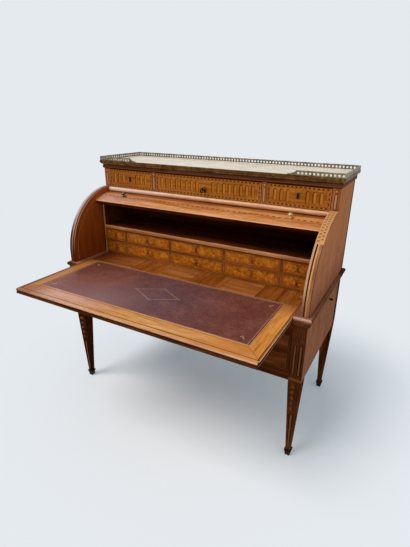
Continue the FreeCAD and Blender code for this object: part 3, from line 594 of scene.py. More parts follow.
# The first fade is a pale pink painted sheen on the left of the front band; the others make it darker at
# its left end and more orange at its right.
front_band_fades = (Fade("X", -0.02, -0.26, (224, 178, 164), 0.7),
                    Fade("X", -0.38, -0.48, (168, 98, 46), 0.85),
                    Fade("X", 0.20, 0.50, (222, 142, 66), 0.7))
slide_wood = wood("slide_veneer_across", (188, 116, 60), (238, 170, 102), (250, 202, 144), gloss=0.24,
                  specular=0.06, fades=front_band_fades)
pad_box = box("slide_leather")
# Darker at its left end, and darker behind the leather's rear edge as painted shade.
slide_side_wood = wood("slide_veneer_along", *BAND, "Y", gloss=0.24, specular=0.06,
                       fades=[Fade("X", -0.40, -0.52, (176, 106, 50), 0.75),
                              Fade("Y", pad_box.y1 - 0.07, pad_box.y1 + 0.05, (132, 76, 40), 0.8)])
slide_end_wood = wood("slide_end_veneer", (48, 22, 10), (84, 46, 24), (116, 72, 42), "Y")
# The nosing's lower half in painted shade, and its upper bead in painted highlight.
nosing_painted_shade_wood = wood("nosing_painted_shade_wood", (40, 18, 8), (74, 38, 18), (116, 70, 36), gloss=0.3)
nosing_painted_highlight = wood("nosing_bead_painted_highlight", (150, 94, 62), (200, 146, 112), (226, 180, 148), gloss=0.26,
                    specular=0.2, fades=[Fade("X", -0.36, -0.50, (120, 76, 50), 0.8)])
# Darker towards the left: painted shadow of the left side on the slide.
rear_painted_shadow_fades = [Fade("X", -0.26, -0.46, (92, 42, 14), 0.7)]
rear_wood = wood("slide_rear_veneer", (96, 46, 12), (148, 80, 28), (188, 116, 50), "Y", gloss=0.24,
                 spread=0.13, specular=WAXED, fades=rear_painted_shadow_fades)
rear_cross = wood("slide_rear_cross_veneer", (104, 52, 18), (158, 90, 38), (192, 126, 66), gloss=0.24,
                  spread=0.13, specular=WAXED, fades=rear_painted_shadow_fades)
band_shade = wood("slide_band_shaded", (96, 54, 28), (140, 86, 50), (176, 120, 78), "Y", specular=WAXED)
nest_burr = burr("nest_burr", (128, 65, 9), (186, 105, 21), (214, 139, 46))
nest_edge = wood("nest_edges", (104, 54, 20), (150, 88, 38), (180, 116, 60))
shelf_wood = wood("shelf_veneer", (140, 86, 50), (196, 134, 90), (222, 166, 122), specular=WAXED)
shelf_front = wood("shelf_front_veneer", (140, 84, 46), (196, 130, 78), (222, 162, 108))
# Near-black wood in painted shade for the insides of the nest and the undersides of boards.
nest_painted_shade = wood("nest_inside_painted_shade", (56, 20, 8), (84, 36, 14), (110, 56, 24), gloss=0.4)
pedestal_wood = wood("pedestal_veneer", (60, 27, 10), (96, 51, 21), (124, 75, 35))
inner_wood = wood("secondary_wood", (120, 84, 50), (158, 118, 76), (184, 146, 102), "Y", gloss=0.5,
                  specular=0.1)
back_wood = wood("back_boards", (84, 48, 26), (122, 76, 44), (150, 100, 62), "Z", gloss=0.45, specular=0.1)

ebony = inlay_wood("ebony", (26, 12, 7), (48, 26, 15), "X")
boxwood = inlay_wood("boxwood", (196, 140, 86), (226, 178, 122))
tulipwood = inlay_wood("tulipwood", (172, 98, 44), (206, 136, 70), "X")
gold_band = inlay_wood("gold_banding", (148, 80, 18), (182, 110, 36), "X")
russet = inlay_wood("russet_wood", (140, 74, 34), (168, 96, 48), "X")
umber = inlay_wood("umber_wood", (78, 38, 10), (108, 58, 20), "X")
brown_line = inlay_wood("brown_stringing", (70, 40, 24), (104, 64, 40))
pale_line = inlay_wood("pale_stringing", (174, 122, 90), (204, 156, 122))
lip_edge_painted_highlight = inlay_wood("lip_edging_painted_highlight", (220, 154, 100), (240, 180, 128), "X", 0.3)
# Strips of the side edges darken towards the foot of the side: painted shade.
pinkwood = inlay_wood("pale_pink_wood", (196, 146, 116), (222, 180, 150),
                      lower=((142, 96, 70), pivot.z + 0.08, pivot.z))
left_pink_painted_shade = inlay_wood("left_pink_wood", (140, 92, 72), (172, 124, 100),
                       lower=((70, 34, 18), pivot.z + 0.12, pivot.z))
left_light = inlay_wood("left_light_wood", (190, 154, 140), (214, 182, 168),
                        lower=((80, 42, 24), pivot.z + 0.16, pivot.z))
left_rim_painted_highlight = inlay_wood("left_rim_wood", (190, 174, 186), (208, 194, 206),
                      lower=((70, 34, 18), pivot.z + 0.22, pivot.z + 0.12))
groove_wood = inlay_wood("groove_wood", (58, 26, 12), (82, 42, 20))
nest_border = inlay_wood("nest_border_wood", (146, 82, 32), (178, 110, 52), "X")
husk_wood = inlay_wood("husk_wood", (102, 56, 30), (130, 78, 46))
lip_lozenge = inlay_wood("lip_lozenge_wood", (112, 56, 22), (138, 76, 34), "X")
edge_light = inlay_wood("edge_light_wood", (200, 142, 88), (224, 170, 114),
                        lower=((188, 130, 82), pivot.z + 0.08, pivot.z))
drawer_border = inlay_wood("drawer_border_wood", (70, 36, 12), (94, 52, 20), "X")
rear_strip = inlay_wood("rear_strip_wood", (66, 43, 34), (86, 58, 46))
husk_shade = inlay_wood("husk_shade_wood", (62, 30, 16), (84, 44, 26))
leg_line = inlay_wood("leg_stringing", (104, 66, 40), (130, 88, 56))
foot_block = inlay_wood("foot_block_wood", (92, 56, 28), (118, 76, 42), "X")
amaranth = inlay_wood("amaranth", (84, 34, 20), (120, 56, 34), "X")
stained = inlay_wood("stained_wood", (96, 50, 10), (126, 72, 20))
sand_shaded = inlay_wood("sand_shaded_wood", (168, 99, 29), (196, 132, 52))

brass = metal("old_brass", (66, 42, 18), (104, 72, 34), (156, 118, 66), 0.36, metallic=0.25, specular=0.06)
gallery_brass = metal("gallery_brass", (88, 74, 56), (146, 130, 104), (206, 190, 162), 0.32, metallic=0.42,
                      specular=0.15)
brass_top_painted_highlight = metal("brass_rim_painted_highlight", (118, 100, 78), (172, 152, 124), (214, 198, 170), 0.34, metallic=0.3,
                  specular=0.1)
brass_cove_painted_highlight = metal("brass_cove_painted_highlight", (92, 60, 28), (140, 100, 54), (186, 146, 90), 0.36, metallic=0.25,
                   specular=0.06)
# The right knob's bright brass is partly a painted highlight; the left knob's darker copy below is painted
# shade.
knob_brass = metal("rubbed_brass", (136, 108, 60), (204, 176, 118), (240, 222, 178), 0.34, 0.46)
knob_painted_shade = metal("knob_brass_painted_shade", (58, 40, 24), (104, 78, 50), (172, 144, 112), 0.36, 0.54)
plate_metal = metal("keyhole_plate", (68, 42, 20), (114, 80, 44), (172, 138, 92), 0.34, 0.54, metallic=0.7)
small_knob_brass = metal("small_knob_brass", (84, 48, 16), (130, 84, 34), (176, 128, 66), 0.36)
dark_brass = metal("blackened_brass", (16, 11, 8), (34, 24, 16), (72, 54, 34), 0.42)
iron = metal("dark_iron", (26, 25, 25), (56, 55, 55), (104, 102, 100), 0.40)
marble_stone = marble("cream_marble")
# Places of the leather's painted sheen and painted shadow.
painted_sheen_middle = (pad_box.middle.x + 30 * MM, pad_box.middle.y - 45 * MM, 0)
painted_shadow_corner = (pad_box.x0, pad_box.y1, 0)
painted_sheen_place = (pad_box.x0 + 0.32 * (pad_box.x1 - pad_box.x0), pad_box.y0, 0)
desk_leather = leather("desk_leather", painted_sheen_middle, painted_shadow_corner, painted_sheen_place)
gold_tooling = gilt("gold_tooling")


def dress(node, material, *others):
    """Give a CAD node its finish. Each other finish comes with a test of a polygon's middle and normal."""
    made = frame["nodes"][node]
    made.data.materials.clear()
    for finish in (material, *(other for other, _ in others)):
        made.data.materials.append(finish)
    for polygon in made.data.polygons:
        polygon.material_index = 0
        for index, (_, test) in enumerate(others, start=1):
            if test(polygon.center, polygon.normal):
                polygon.material_index = index


def dress_all(nodes, material):
    for node in nodes:
        dress(node, material)


LEGS = ["leg_%s_%s" % (end, side) for end in ("front", "back") for side in SIDES]
NEST_COLUMNS = ("far_left", "left", "centre", "right", "far_right")
NEST_DRAWERS = ["nest_drawer_%s_%s" % (c, r) for r in ("lower", "upper") for c in NEST_COLUMNS]
FRIEZE_SIDES = ("left", "centre", "right")
PEDESTAL_DRAWERS = ["pedestal_drawer_%s_%s" % (s, r) for s in ("left", "right") for r in ("lower", "upper")]
NEST_FRONT = 10 * MM
LARGE_FRONT = 18 * MM
NEAR = 0.2 * MM         # slack where a surface is picked by its place


def dress_drawer(node, front_wood, thickness, knob=None):
    """A drawer's front in veneer, its box in plain wood, and its knob, if any, in metal."""
    front_y = face(node, FRONT).y0
    others = [(front_wood, lambda c, n: c.y < front_y + thickness + NEAR)]
    if knob:
        others.append((knob, lambda c, n: c.y < front_y - NEAR))
    dress(node, inner_wood, *others)


def dress_case():
    shoulder = box("front_rails").z0
    for leg in LEGS:
        # The left legs get a darker copy of the leg veneer: painted shade.
        dress(leg, left_leg_painted_shade_wood if leg.endswith("left") else leg_wood,
              (post_wood, lambda c, n: c.z > shoulder),
              (lower_side_wood, lambda c, n: abs(n.x) > FACING and c.z > shoulder))
    dress("leg_caps", dark_brass)
    dress_all(["lower_side_right", "lower_side_left"], lower_side_wood)
    dress_all(["lower_back", "upper_back"], back_wood)
    dress("front_rails", case_wood)
    dress_all(["pedestal_partitions", "slide_bearers"], inner_wood)
    dress("dust_boards", inner_wood, (case_wood, lambda c, n: n.y < -FACING))
    waist = box("waist_moulding")
    bead = 12 * MM
    lip = 9 * MM
    # Painted light by place: highlight on the bead and the right front corner, shade on the cove, the sides
    # and the left front.
    dress("waist_moulding", waist_wood,
          (waist_painted_shade, lambda c, n: c.z < waist.z0 + bead),
          (waist_painted_highlight, lambda c, n: c.z > waist.z1 - bead),
          (waist_face, lambda c, n: abs(n.x) > 0.5 and c.z > waist.z0 + bead),
          (waist_corner_painted_highlight, lambda c, n: n.y < -0.4 and c.z > waist.z1 - lip and c.x > 0),
          (slide_end_wood, lambda c, n: n.y < -0.4 and c.x < 0))
    for side, out in SIDES.items():
        node = "upper_side_" + side
        inner_x = box(node).x0 if out > 0 else box(node).x1
        dress(node, side_wood,
              (edge_wood, lambda c, n: abs(n.x) < 0.5),
              (inner_side_wood, lambda c, n: abs(c.x - inner_x) < NEAR))
    # The cheeks in painted shade, with pale front edges.
    dress("nest_cheeks", nest_painted_shade, (shelf_wood, lambda c, n: n.y < -FACING))
    dress("cylinder_pivot_pins", iron)
    dress("nest_dividers", nest_edge)
    # The shelf's nose pale on its front and upper rounding as painted highlight, the rest in painted shade.
    dress("nest_shelf", nest_painted_shade,
          (shelf_front, lambda c, n: n.y < -0.3 and n.z > -0.5),
          (shelf_wood, lambda c, n: n.y < -0.2 and n.z > 0.25))
    dress("nest_back", nest_painted_shade)
    dress("frieze_bottom_board", nest_painted_shade)
    dress("frieze_bead", bead_wood)
    dress("frieze_uprights", stile_wood, (side_wood, lambda c, n: abs(n.x) > FACING))
    dress("frieze_top_board", top_board_wood,
          (nest_painted_shade, lambda c, n: n.z < -0.2),
          (top_end_wood, lambda c, n: abs(n.x) > 0.5))
    # Lighter copies of the brass on the rim's top and on the cove beneath: painted highlight.
    dress("brass_edge_moulding", brass,
          (brass_top_painted_highlight, lambda c, n: n.z > 0.35),
          (brass_cove_painted_highlight, lambda c, n: n.z < -0.1))
    dress("marble_top", marble_stone)
    dress("gallery", gallery_brass)


def dress_moving():
    for node in NEST_DRAWERS:
        dress_drawer(node, nest_burr, NEST_FRONT, small_knob_brass)
    for side in FRIEZE_SIDES:
        dress_drawer("frieze_drawer_" + side, frieze_wood, LARGE_FRONT)
        front_y = face("frieze_drawer_" + side, FRONT).y0
        dress("frieze_lock_" + side, iron, (plate_metal, lambda c, n: c.y < front_y + NEAR))
    dress("drawer_key", dark_brass)
    for node in PEDESTAL_DRAWERS + ["knee_drawer"]:
        dress_drawer(node, pedestal_wood, LARGE_FRONT)
    for side in SIDES:
        edge = box("lower_side_" + side)
        outer = max(abs(edge.x0), abs(edge.x1))
        dress("side_slide_" + side, slide_side_wood,
              (lower_side_wood, lambda c, n: abs(n.x) > FACING),
              (dark_brass, lambda c, n: abs(c.x) > outer + NEAR))
    dress("cylinder_shell", cover_wood)
    # The lip's underside in painted shade.
    dress("cylinder_lip_rail", lip_wood, (nest_painted_shade, lambda c, n: n.z < -0.2))
    # The left knob in a darker copy of the brass: painted shade.
    dress("cylinder_knobs", knob_brass, (knob_painted_shade, lambda c, n: c.x < 0))
    dress("cylinder_arms", iron)
    dress("slide_panel", slide_side_wood)
    dress("slide_leather", desk_leather)
    front_length = 0.9 * pad_box.x1
    dress("slide_bands", slide_side_wood,
          (slide_wood, lambda c, n: abs(c.x) < front_length),
          (slide_end_wood, lambda c, n: abs(n.x) > 0.3))
    middle = box("slide_nosing").middle.z
    # Painted highlight on the upper bead, painted shade below it.
    dress("slide_nosing", nosing_painted_shade_wood,
          (nosing_painted_highlight, lambda c, n: c.z > middle and n.z > 0.15),
          (slide_wood, lambda c, n: c.z > middle and n.z > FACING),
          (slide_end_wood, lambda c, n: abs(n.x) > 0.95))


# Inlay of drawer fronts and of the frieze
def drawer_front(node):
    """An empty inlay for a drawer, the flat of its front, and the surface that carries the inlay."""
    f = face(node, FRONT)
    return Marquetry(node + "_inlay", node, "drawer_veneer"), f, front_surface(f.y0)


DOT_PITCH = 20 * MM
FLUTE_PITCH = 30 * MM


def dotted_band(work, u0, u1, v0, v1, inset, place):
    """Dark lozenges and pale dots in turn, in a band that runs round a rectangle."""
    half_u = 6.4 * MM
    half_v = 3.6 * MM
    dot = 1.7 * MM
    for v in (v0 + inset, v1 - inset):
        spots = places_along(u0 + inset, u1 - inset, DOT_PITCH)
        work.pieces([lozenge(u, v, half_u, half_v) for u in spots], umber, place, 2)
        work.pieces([disc(u + (spots[1] - spots[0]) / 2, v, dot, 8) for u in spots[:-1]], boxwood, place, 2)
    for u in (u0 + inset, u1 - inset):
        spots = places_along(v0 + 2 * inset, v1 - 2 * inset, DOT_PITCH)
        work.pieces([lozenge(u, v, half_v, half_u) for v in spots], umber, place, 2)


def shaded_flute(work, u, v0, v1, half, place):
    """A pale upright flute with its own shadow, as marquetry draws one."""
    shadow = 3.4 * MM
    work.piece(flute(u - shadow / 2, v0 - shadow / 2, v1 + shadow, half + shadow), stained, place, 1)
    work.piece(flute(u, v0, v1, half), sand_shaded, place, 2)


def inlay_frieze_drawer(side):
    """A dotted band round the drawer, a row of flutes inside it, and the dark slot of its keyhole."""
    node = "frieze_drawer_" + side
    work, f, place = drawer_front(node)
    work.bands(f.front, place, (0, 2.0, ebony, 1))
    # A dark line along the top of the drawer: painted shadow under the nose of the board above.
    work.piece(rectangle(f.x0, f.x1, f.z1 - 3.2 * MM, f.z1), ebony, place, 2)
    work.bands(f.front, place, (2.0, 1.2, boxwood, 1), (3.2, 11.8, gold_band, 1))
    dotted_band(work, *f.front, 9.0 * MM, place)
    work.bands(f.front, place, (15.0, 1.1, umber, 2), (16.1, 1.0, boxwood, 2))
    lock = box("frieze_lock_" + side)
    lock_x = lock.middle.x
    lock_z = lock.middle.z
    clear = 18 * MM
    end_gap = 26 * MM
    flute_half = 5.8 * MM
    for u in places_along(f.x0 + end_gap, f.x1 - end_gap, FLUTE_PITCH):
        if abs(u - lock_x) > clear:
            shaded_flute(work, u, f.z0 + 24 * MM, f.z1 - 25 * MM, flute_half, place)
    # The keyhole is not cut: a dark piece stands in for the shade inside it.
    slot_reach = 13 * MM
    slot_half = 4.2 * MM
    slot_top = -3.5 * MM if side == "centre" else slot_reach    # the key stands in the middle lock
    slot = flute(lock_x, lock_z - slot_reach, lock_z + slot_top, slot_half)
    work.piece(slot, ebony, front_surface(lock.y0))
    work.build()


def inlay_frieze_stiles(work):
    """A small framed square over a long flute on each upright of the frieze."""
    f = face("frieze_uprights", FRONT)
    place = front_surface(f.y0)
    left, centre, right = [face("frieze_drawer_" + side, FRONT) for side in FRIEZE_SIDES]
    top = centre.z1
    foot = centre.z0
    square = 6.5 * MM
    v = top - 12 * MM
    for start, end in ((left.x1, centre.x0), (centre.x1, right.x0), (f.x0, left.x0), (f.x1, right.x1)):
        u = (start + end) / 2
        block = (u - square, u + square, v - square, v + square)
        work.piece(rectangle(*block), tulipwood, place)
        work.bands(block, place, (0, 1.4, umber, 2))
        work.piece(lozenge(u, v, 3 * MM, 3 * MM), boxwood, place, 2)
        work.piece(flute(u, foot + 6 * MM, top - 23 * MM, 6.2 * MM), umber, place, 1)
        work.piece(flute(u, foot + 8.5 * MM, top - 25.5 * MM, 3.8 * MM), pale_line, place, 2)


# Inlay of the rolling cover
def inlay_cover():
    """A row of soft lozenges along the lip of the cover, and a painted highlight along its lower edge."""
    work = Marquetry("cylinder_lip_inlay", "rolling_cover", "cover_veneer")
    lip = box("cylinder_lip_rail")
    radius = reach("cylinder_lip_rail")
    place = drum_surface(radius)
    mesh = frame["nodes"]["cylinder_lip_rail"].data
    edge = min(math.degrees(math.atan2(v.co.z - pivot.z, pivot.y - v.co.y)) for v in mesh.vertices)
    degree = math.radians(1) * radius
    middle = edge + 62 * MM / degree
    for u in places_along(lip.x0 + 14 * MM, lip.x1 - 14 * MM, 28 * MM):
        work.piece(lozenge(u, middle, 8.5 * MM, 4.4 * MM / degree), lip_lozenge, place)
    # A pale strip along the lip's lower edge: painted highlight.
    low = edge + 0.2 * MM / degree
    work.piece(rectangle(lip.x0 + 1 * MM, lip.x1 - 1 * MM, low, low + 6 * MM / degree), lip_edge_painted_highlight, place)
    work.build()


# Inlay of the upper sides, in degrees above the front horizontal
QUARTER = 90
ORNAMENT_FOOT = 46


def inlay_upper_side(work, side, out):
    """The front edge of a quarter-round side, its beads and groove drawn flat in painted highlight and
    painted shade, and the stringing on its inner face.
    """
    b = box("upper_side_" + side)
    inner, outer = (b.x0, b.x1) if out > 0 else (b.x1, b.x0)
    width = abs(outer - inner)
    radius = pivot.y - b.y0
    drum = drum_surface(radius)
    # On the right the pale first and third strips are painted highlights on the beads and the dark second
    # strip painted shade in the groove; on the left the first strip is a darker copy in painted shade and a
    # wide pale rim a painted highlight.
    if out > 0:
        strings_top = ORNAMENT_FOOT
        rim = 2.0 * MM
        pink, light, outside = pinkwood, edge_light, groove_wood
    else:
        strings_top = QUARTER
        rim = 11.0 * MM
        pink, light, outside = left_pink_painted_shade, left_light, left_rim_painted_highlight
    columns = ((0.0, 8.0 * MM, pink), (8.0 * MM, 14.5 * MM, groove_wood),
               (14.5 * MM, 20.5 * MM, light), (width - rim, width, outside))
    for start, end, material in columns:
        u0, u1 = sorted((inner + out * start, inner + out * end))
        work.strip(u0, u1, 0, strings_top, material, drum, 1, 36)
        work.piece(rectangle(u0, u1, b.z0, pivot.z), material, front_surface(b.y0))
    if out > 0:
        edge_ornament(work, inner, width, radius)
    string_inner_side(work, b, inner, -out, radius)


def string_inner_side(work, b, x, out, radius):
    """A pale and a brown line that follow the quarter-round edge on the inner face of a side."""
    arc = 72
    steps = 30
    for inset, line, material in ((25.0 * MM, 2.2 * MM, pale_line), (27.4 * MM, 1.2 * MM, umber)):
        r = radius - inset
        for i in range(steps):
            length = rectangle(arc * i / steps, arc * (i + 1) / steps, r - line, r)
            work.piece(length, material, fan_surface(x, out))
        y = pivot.y - r
        work.piece(rectangle(y, y + line, b.z0 + 12 * MM, pivot.z), material, side_surface(x, out))


def edge_ornament(work, inner, width, radius):
    """Two rows of small shaded beads on a pale ground, over the upper part of an edge."""
    drum = drum_surface(radius)
    work.strip(inner, inner + width, ORNAMENT_FOOT, QUARTER, edge_light, drum, 1, 24)
    pitch = math.degrees(17 * MM / radius)
    half = math.degrees(4.6 * MM / radius)
    for row, share in enumerate((0.30, 0.70)):
        u = inner + width * share
        shift = row * pitch / 2
        for angle in places_along(ORNAMENT_FOOT + 1 + shift, QUARTER - 2 + shift, pitch):
            work.piece(oval(u, angle, 5.2 * MM, half), russet, drum, 2)
            lit = angle - half * 0.3
            work.piece(oval(u + 1.4 * MM, lit, 2.4 * MM, half * 0.5), edge_light, drum, 3)


# Inlay of the nest drawers
def inlay_nest_drawer(node):
    """A banded border, a dashed line inside it and two outlined panels on a small drawer."""
    work, f, place = drawer_front(node)
    work.bands(f.front, place, (0, 0.9, amaranth, 1), (0.9, 4.2, nest_border, 1), (5.1, 0.8, umber, 1))
    inset = 8.2 * MM
    dash = 1.5 * MM
    thin = 0.6 * MM
    pitch = 6.5 * MM
    for v in (f.z0 + inset, f.z1 - inset):
        for u in places_along(f.x0 + inset, f.x1 - inset, pitch):
            work.piece(rectangle(u - dash, u + dash, v - thin, v + thin), umber, place)
    for u in (f.x0 + inset, f.x1 - inset):
        for v in places_along(f.z0 + inset, f.z1 - inset, pitch):
            work.piece(rectangle(u - thin, u + thin, v - dash, v + dash), umber, place)
    bow_points(work, f, place)
    work.build()


def bow_points(work, f, place):
    """Two panels outlined in brown string, with round inner ends that stand back to back."""
    margin = 11.5 * MM
    line = 0.9 * MM
    gap = 4 * MM
    steps = 8
    middle = f.middle.x
    height = f.middle.z
    half = (f.z1 - f.z0) / 2 - margin
    arc = [math.pi / 2 - math.pi * i / steps for i in range(steps + 1)]
    left_end = [(middle - gap - half + half * math.cos(t), height + half * math.sin(t)) for t in arc]
    right_end = [(2 * middle - u, v) for u, v in reversed(left_end)]
    work.piece(left_end + right_end, russet, place)
    arc = [math.pi / 2 + math.pi * i / steps for i in range(steps + 1)]
    for out, end in ((1, f.x1 - margin), (-1, f.x0 + margin)):
        centre_u = middle + out * (gap + half)
        round_end = [(centre_u + out * half * math.cos(t), height + half * math.sin(t)) for t in arc]
        outline = [(end, height + half)] + round_end + [(end, height - half)]
        for a, b in zip(outline, outline[1:] + outline[:1]):
            work.piece(segment(a, b, line), umber, place)


# Inlay of the writing slide
def inlay_slide():
    """Stringing round the leather, mitre and joint lines on the bands, and the groove of the nosing."""
    work = Marquetry("writing_slide_inlay", "writing_slide", "slide_veneer")
    place = top_surface(box("slide_panel").z1)
    pad = face("slide_leather", UP)
    bands = box("slide_bands")
    nosing = box("slide_nosing")
    work.bands(pad.plan, place, (-3.0, 3.0, boxwood, 1), (-4.2, 1.2, umber, 1))
    front_strip = rectangle(pad.x0, pad.x1, pad.y0, pad.y0 + 6 * MM)
    work.piece(front_strip, slide_wood, top_surface(pad.z1))
    joint = bands.y0 + 1.2 * MM
    work.piece(rectangle(bands.x0, bands.x1, joint, joint + 2.6 * MM), groove_wood, place)
    shaded_end = rectangle(bands.x0 + 1 * MM, bands.x0 + 15 * MM, bands.y0, bands.y1)
    work.piece(shaded_end, band_shade, place, 2)
    for out in SIDES.values():
        mitre = segment((out * bands.x1, bands.y0), (out * pad.x1, pad.y0), 0.9 * MM)
        work.piece(mitre, amaranth, place, 2)
        u0, u1 = sorted((out * (bands.x1 - 4 * MM), out * (bands.x1 - 7 * MM)))
        work.piece(rectangle(u0, u1, bands.y0, bands.y1), amaranth, place, 3)
    rear_panels(work, pad, bands, place)
    v = nosing.middle.z
    groove = rectangle(nosing.x0 + 1 * MM, nosing.x1 - 1 * MM, v - 1 * MM, v + 1 * MM)
    groove_y = nosing.y0 + (nosing.z1 - nosing.z0) / 4 + 1.5 * MM
    work.piece(groove, ebony, front_surface(groove_y))
    slide_edges(work, bands, nosing)
    work.build()


def rear_panels(work, pad, bands, place):
    """Veneer behind the leather, in lengths that meet on dark lines with their grain turned in turn."""
    y0 = pad.y1 + 4.4 * MM
    y1 = bands.y1 - 1 * MM
    x0 = bands.x0 + 4 * MM
    x1 = bands.x1 - 4 * MM
    pitch = 172 * MM
    seam = -131 * MM
    half_line = 0.6 * MM
    seams = [seam + pitch * i for i in range(-2, 5)]
    edges = [x0] + [x for x in seams if x0 < x < x1] + [x1]
    for i, (start, end) in enumerate(zip(edges, edges[1:])):
        work.piece(rectangle(start, end, y0, y1), (rear_wood, rear_cross)[i % 2], place)
    for x in edges[1:-1]:
        work.piece(rectangle(x - half_line, x + half_line, y0, y1), amaranth, place, 2)


def slide_edges(work, bands, nosing):
    """A pale line along the foot of the slide's ends and a strip along the upper edge of the right one,
    both painted highlights on the edges.
    """
    # Painted highlight along the upper edge of the right end.
    top = rectangle(nosing.y1, bands.y1, bands.z1 - 8 * MM, bands.z1 - 0.3 * MM)
    work.piece(top, lip_edge_painted_highlight, side_surface(bands.x1, 1))
    # Painted highlight along the foot of both ends.
    low = bands.z0 + 5 * MM
    line = rectangle(nosing.y1, bands.y1, low, low + 1.8 * MM)
    for x, out in ((bands.x1, 1), (bands.x0, -1)):
        work.piece(line, pale_line, side_surface(x, out))


def tool_leather():
    """Tooled lines round the leather, a leaf in each corner and a crossed diamond in the middle."""
    work = Marquetry("leather_tooling", "writing_slide", "leather")
    work.step = 0.08 * MM
    pad = face("slide_leather", UP)
    place = top_surface(pad.z1)
    work.bands(pad.plan, place, (2.0, 2.4, amaranth, 1),
               (5.6, 1.4, gold_tooling, 1), (9.0, 0.7, gold_tooling, 1))
    half_u = 113 * MM
    half_v = 62 * MM
    from_end = 48 * MM
    from_edge = 50 * MM
    past = 0.08         # share of a side by which the lines of the diamond cross at its tips
    tips = [(half_u, 0), (0, half_v), (-half_u, 0), (0, -half_v)]
    for (a, b), (c, d) in zip(tips, tips[1:] + tips[:1]):
        start = (pad.middle.x + a + past * (a - c), pad.middle.y + b + past * (b - d))
        end = (pad.middle.x + c + past * (c - a), pad.middle.y + d + past * (d - b))
        work.piece(segment(start, end, 2.4 * MM), gold_tooling, place)
    for out_u, edge_u in ((1, pad.x1), (-1, pad.x0)):
        for out_v, edge_v in ((1, pad.y1), (-1, pad.y0)):
            stalk = (edge_u - out_u * from_end, edge_v - out_v * from_edge)
            toward_corner = math.degrees(math.atan2(out_u, -out_v))
            work.piece(leaf(*stalk, 26 * MM, 5.0 * MM, toward_corner), gold_tooling, place)
            for lean in (-60, 60):
                work.piece(leaf(*stalk, 11 * MM, 3.4 * MM, toward_corner + lean), gold_tooling, place)
    work.build()


# Inlay of the lower case
def inlay_posts(work):
    """Two flutes over a plain block, and four squares over them, on the front of each corner post."""
    waist = box("waist_moulding").z0
    case_foot = box("front_rails").z0
    apart = 12.5 * MM
    length = 150 * MM
    lip = 3 * MM
    half = 10.5 * MM
    square_rows = (170 * MM, 195 * MM)
    for side in SIDES:
        b = box("leg_front_" + side)
        place = front_surface(b.y0)
        foot = face("pedestal_drawer_%s_lower" % side, FRONT).z0 - 11 * MM
        block = rectangle(b.x0 + 1 * MM, b.x1 - 1 * MM, case_foot + 1 * MM, case_foot + 17 * MM)
        work.piece(block, foot_block, place)
        for u in (b.middle.x - apart, b.middle.x + apart):
            work.piece(flute(u, foot, foot + length, 7.4 * MM), ebony, place)
            work.piece(flute(u, foot + lip, foot + length - lip, 3.6 * MM), leg_line, place, 2)
            for row in square_rows:
                v = foot + row
                square = (u - half, u + half, v - half, v + half)
                work.piece(rectangle(*square), ebony, place)
                work.bands(square, place, (2.0, 2.2, husk_wood, 2))
                work.piece(lozenge(u, v, 4.6 * MM, 4.6 * MM), husk_wood, place, 2)
        work.bands((b.x0, b.x1, foot - 9 * MM, waist), place, (1.2, 1.0, amaranth, 1))


def inlay_legs(work):
    """A chain of husks over a long flute on the two outward faces of each leg."""
    for end, out_y in (("front", -1), ("back", 1)):
        for side, out_x in SIDES.items():
            inlay_leg(work, "leg_%s_%s" % (end, side), out_x, out_y)


def inlay_leg(work, node, out_x, out_y):
    """The ornament of one leg, on faces that draw in towards its foot."""
    mesh = frame["nodes"][node].data
    middle = Vector(box(node).middle)
    cap_top = box("leg_caps").z1
    shoulder = box("front_rails").z0
    neck = max(v.co.z for v in mesh.vertices if v.co.z < shoulder - NEAR)

    def half_near(z):
        return max(abs(v.co.x - middle.x) for v in mesh.vertices if abs(v.co.z - z) < NEAR)

    tip_half = half_near(cap_top)
    neck_half = half_near(neck)

    def half_at(z):
        return tip_half + (neck_half - tip_half) * (z - cap_top) / (neck - cap_top)

    def toward_y(u, v, h):
        return Vector((middle.x + u, middle.y + out_y * (half_at(v) + h), v))

    def toward_x(u, v, h):
        return Vector((middle.x + out_x * (half_at(v) + h), middle.y + u, v))

    husks = 5
    husk_pitch = 31 * MM
    shrink = 0.06           # share of its size that each husk loses, counted from the first
    lean = 30
    length = 26 * MM
    width = 12 * MM
    heart_length = 18 * MM
    heart_width = 6 * MM
    for place in (toward_y, toward_x):
        for i in range(husks):
            v = neck - 12 * MM - i * husk_pitch
            size = 1 - shrink * i
            for u, turn, material in ((-1.0 * MM, -lean, husk_wood), (1.0 * MM, lean, husk_shade)):
                work.piece(leaf(u, v, length * size, width * size, turn), material, place)
            heart = leaf(0, v - 6 * MM, heart_length * size, heart_width * size, 0)
            work.piece(heart, husk_wood, place, 2)
        top = neck - 20 * MM - husks * husk_pitch
        low = cap_top + 14 * MM
        for inset, share, material, level in ((0.0, 0.50, ebony, 1), (3 * MM, 0.22, leg_line, 2)):
            tapered_flute(work, low + inset, top - inset, share, half_at, material, place, level)


def tapered_flute(work, low, top, share, half_at, material, place, level):
    """A long bar that narrows with the leg, with a round head."""
    steps = 8
    head = share * half_at(top)
    arc = [math.pi * i / steps for i in range(steps + 1)]
    round_head = [(head * math.cos(t), top - head + head * math.sin(t)) for t in arc]
    foot = share * half_at(low)
    work.piece([(-foot, low), (foot, low)] + round_head, material, place, level)


def inlay_lower_front(work):
    """A line under the lower drawers of the pedestals."""
    rails = face("front_rails", FRONT)
    place = front_surface(rails.y0)
    for side in SIDES:
        drawer = face("pedestal_drawer_%s_lower" % side, FRONT)
        v = drawer.z0 - 3 * MM
        work.piece(rectangle(drawer.x0, drawer.x1, v - 1.6 * MM, v), brown_line, place)
        work.piece(rectangle(drawer.x0, drawer.x1, v - 3.0 * MM, v - 1.6 * MM), ebony, place)


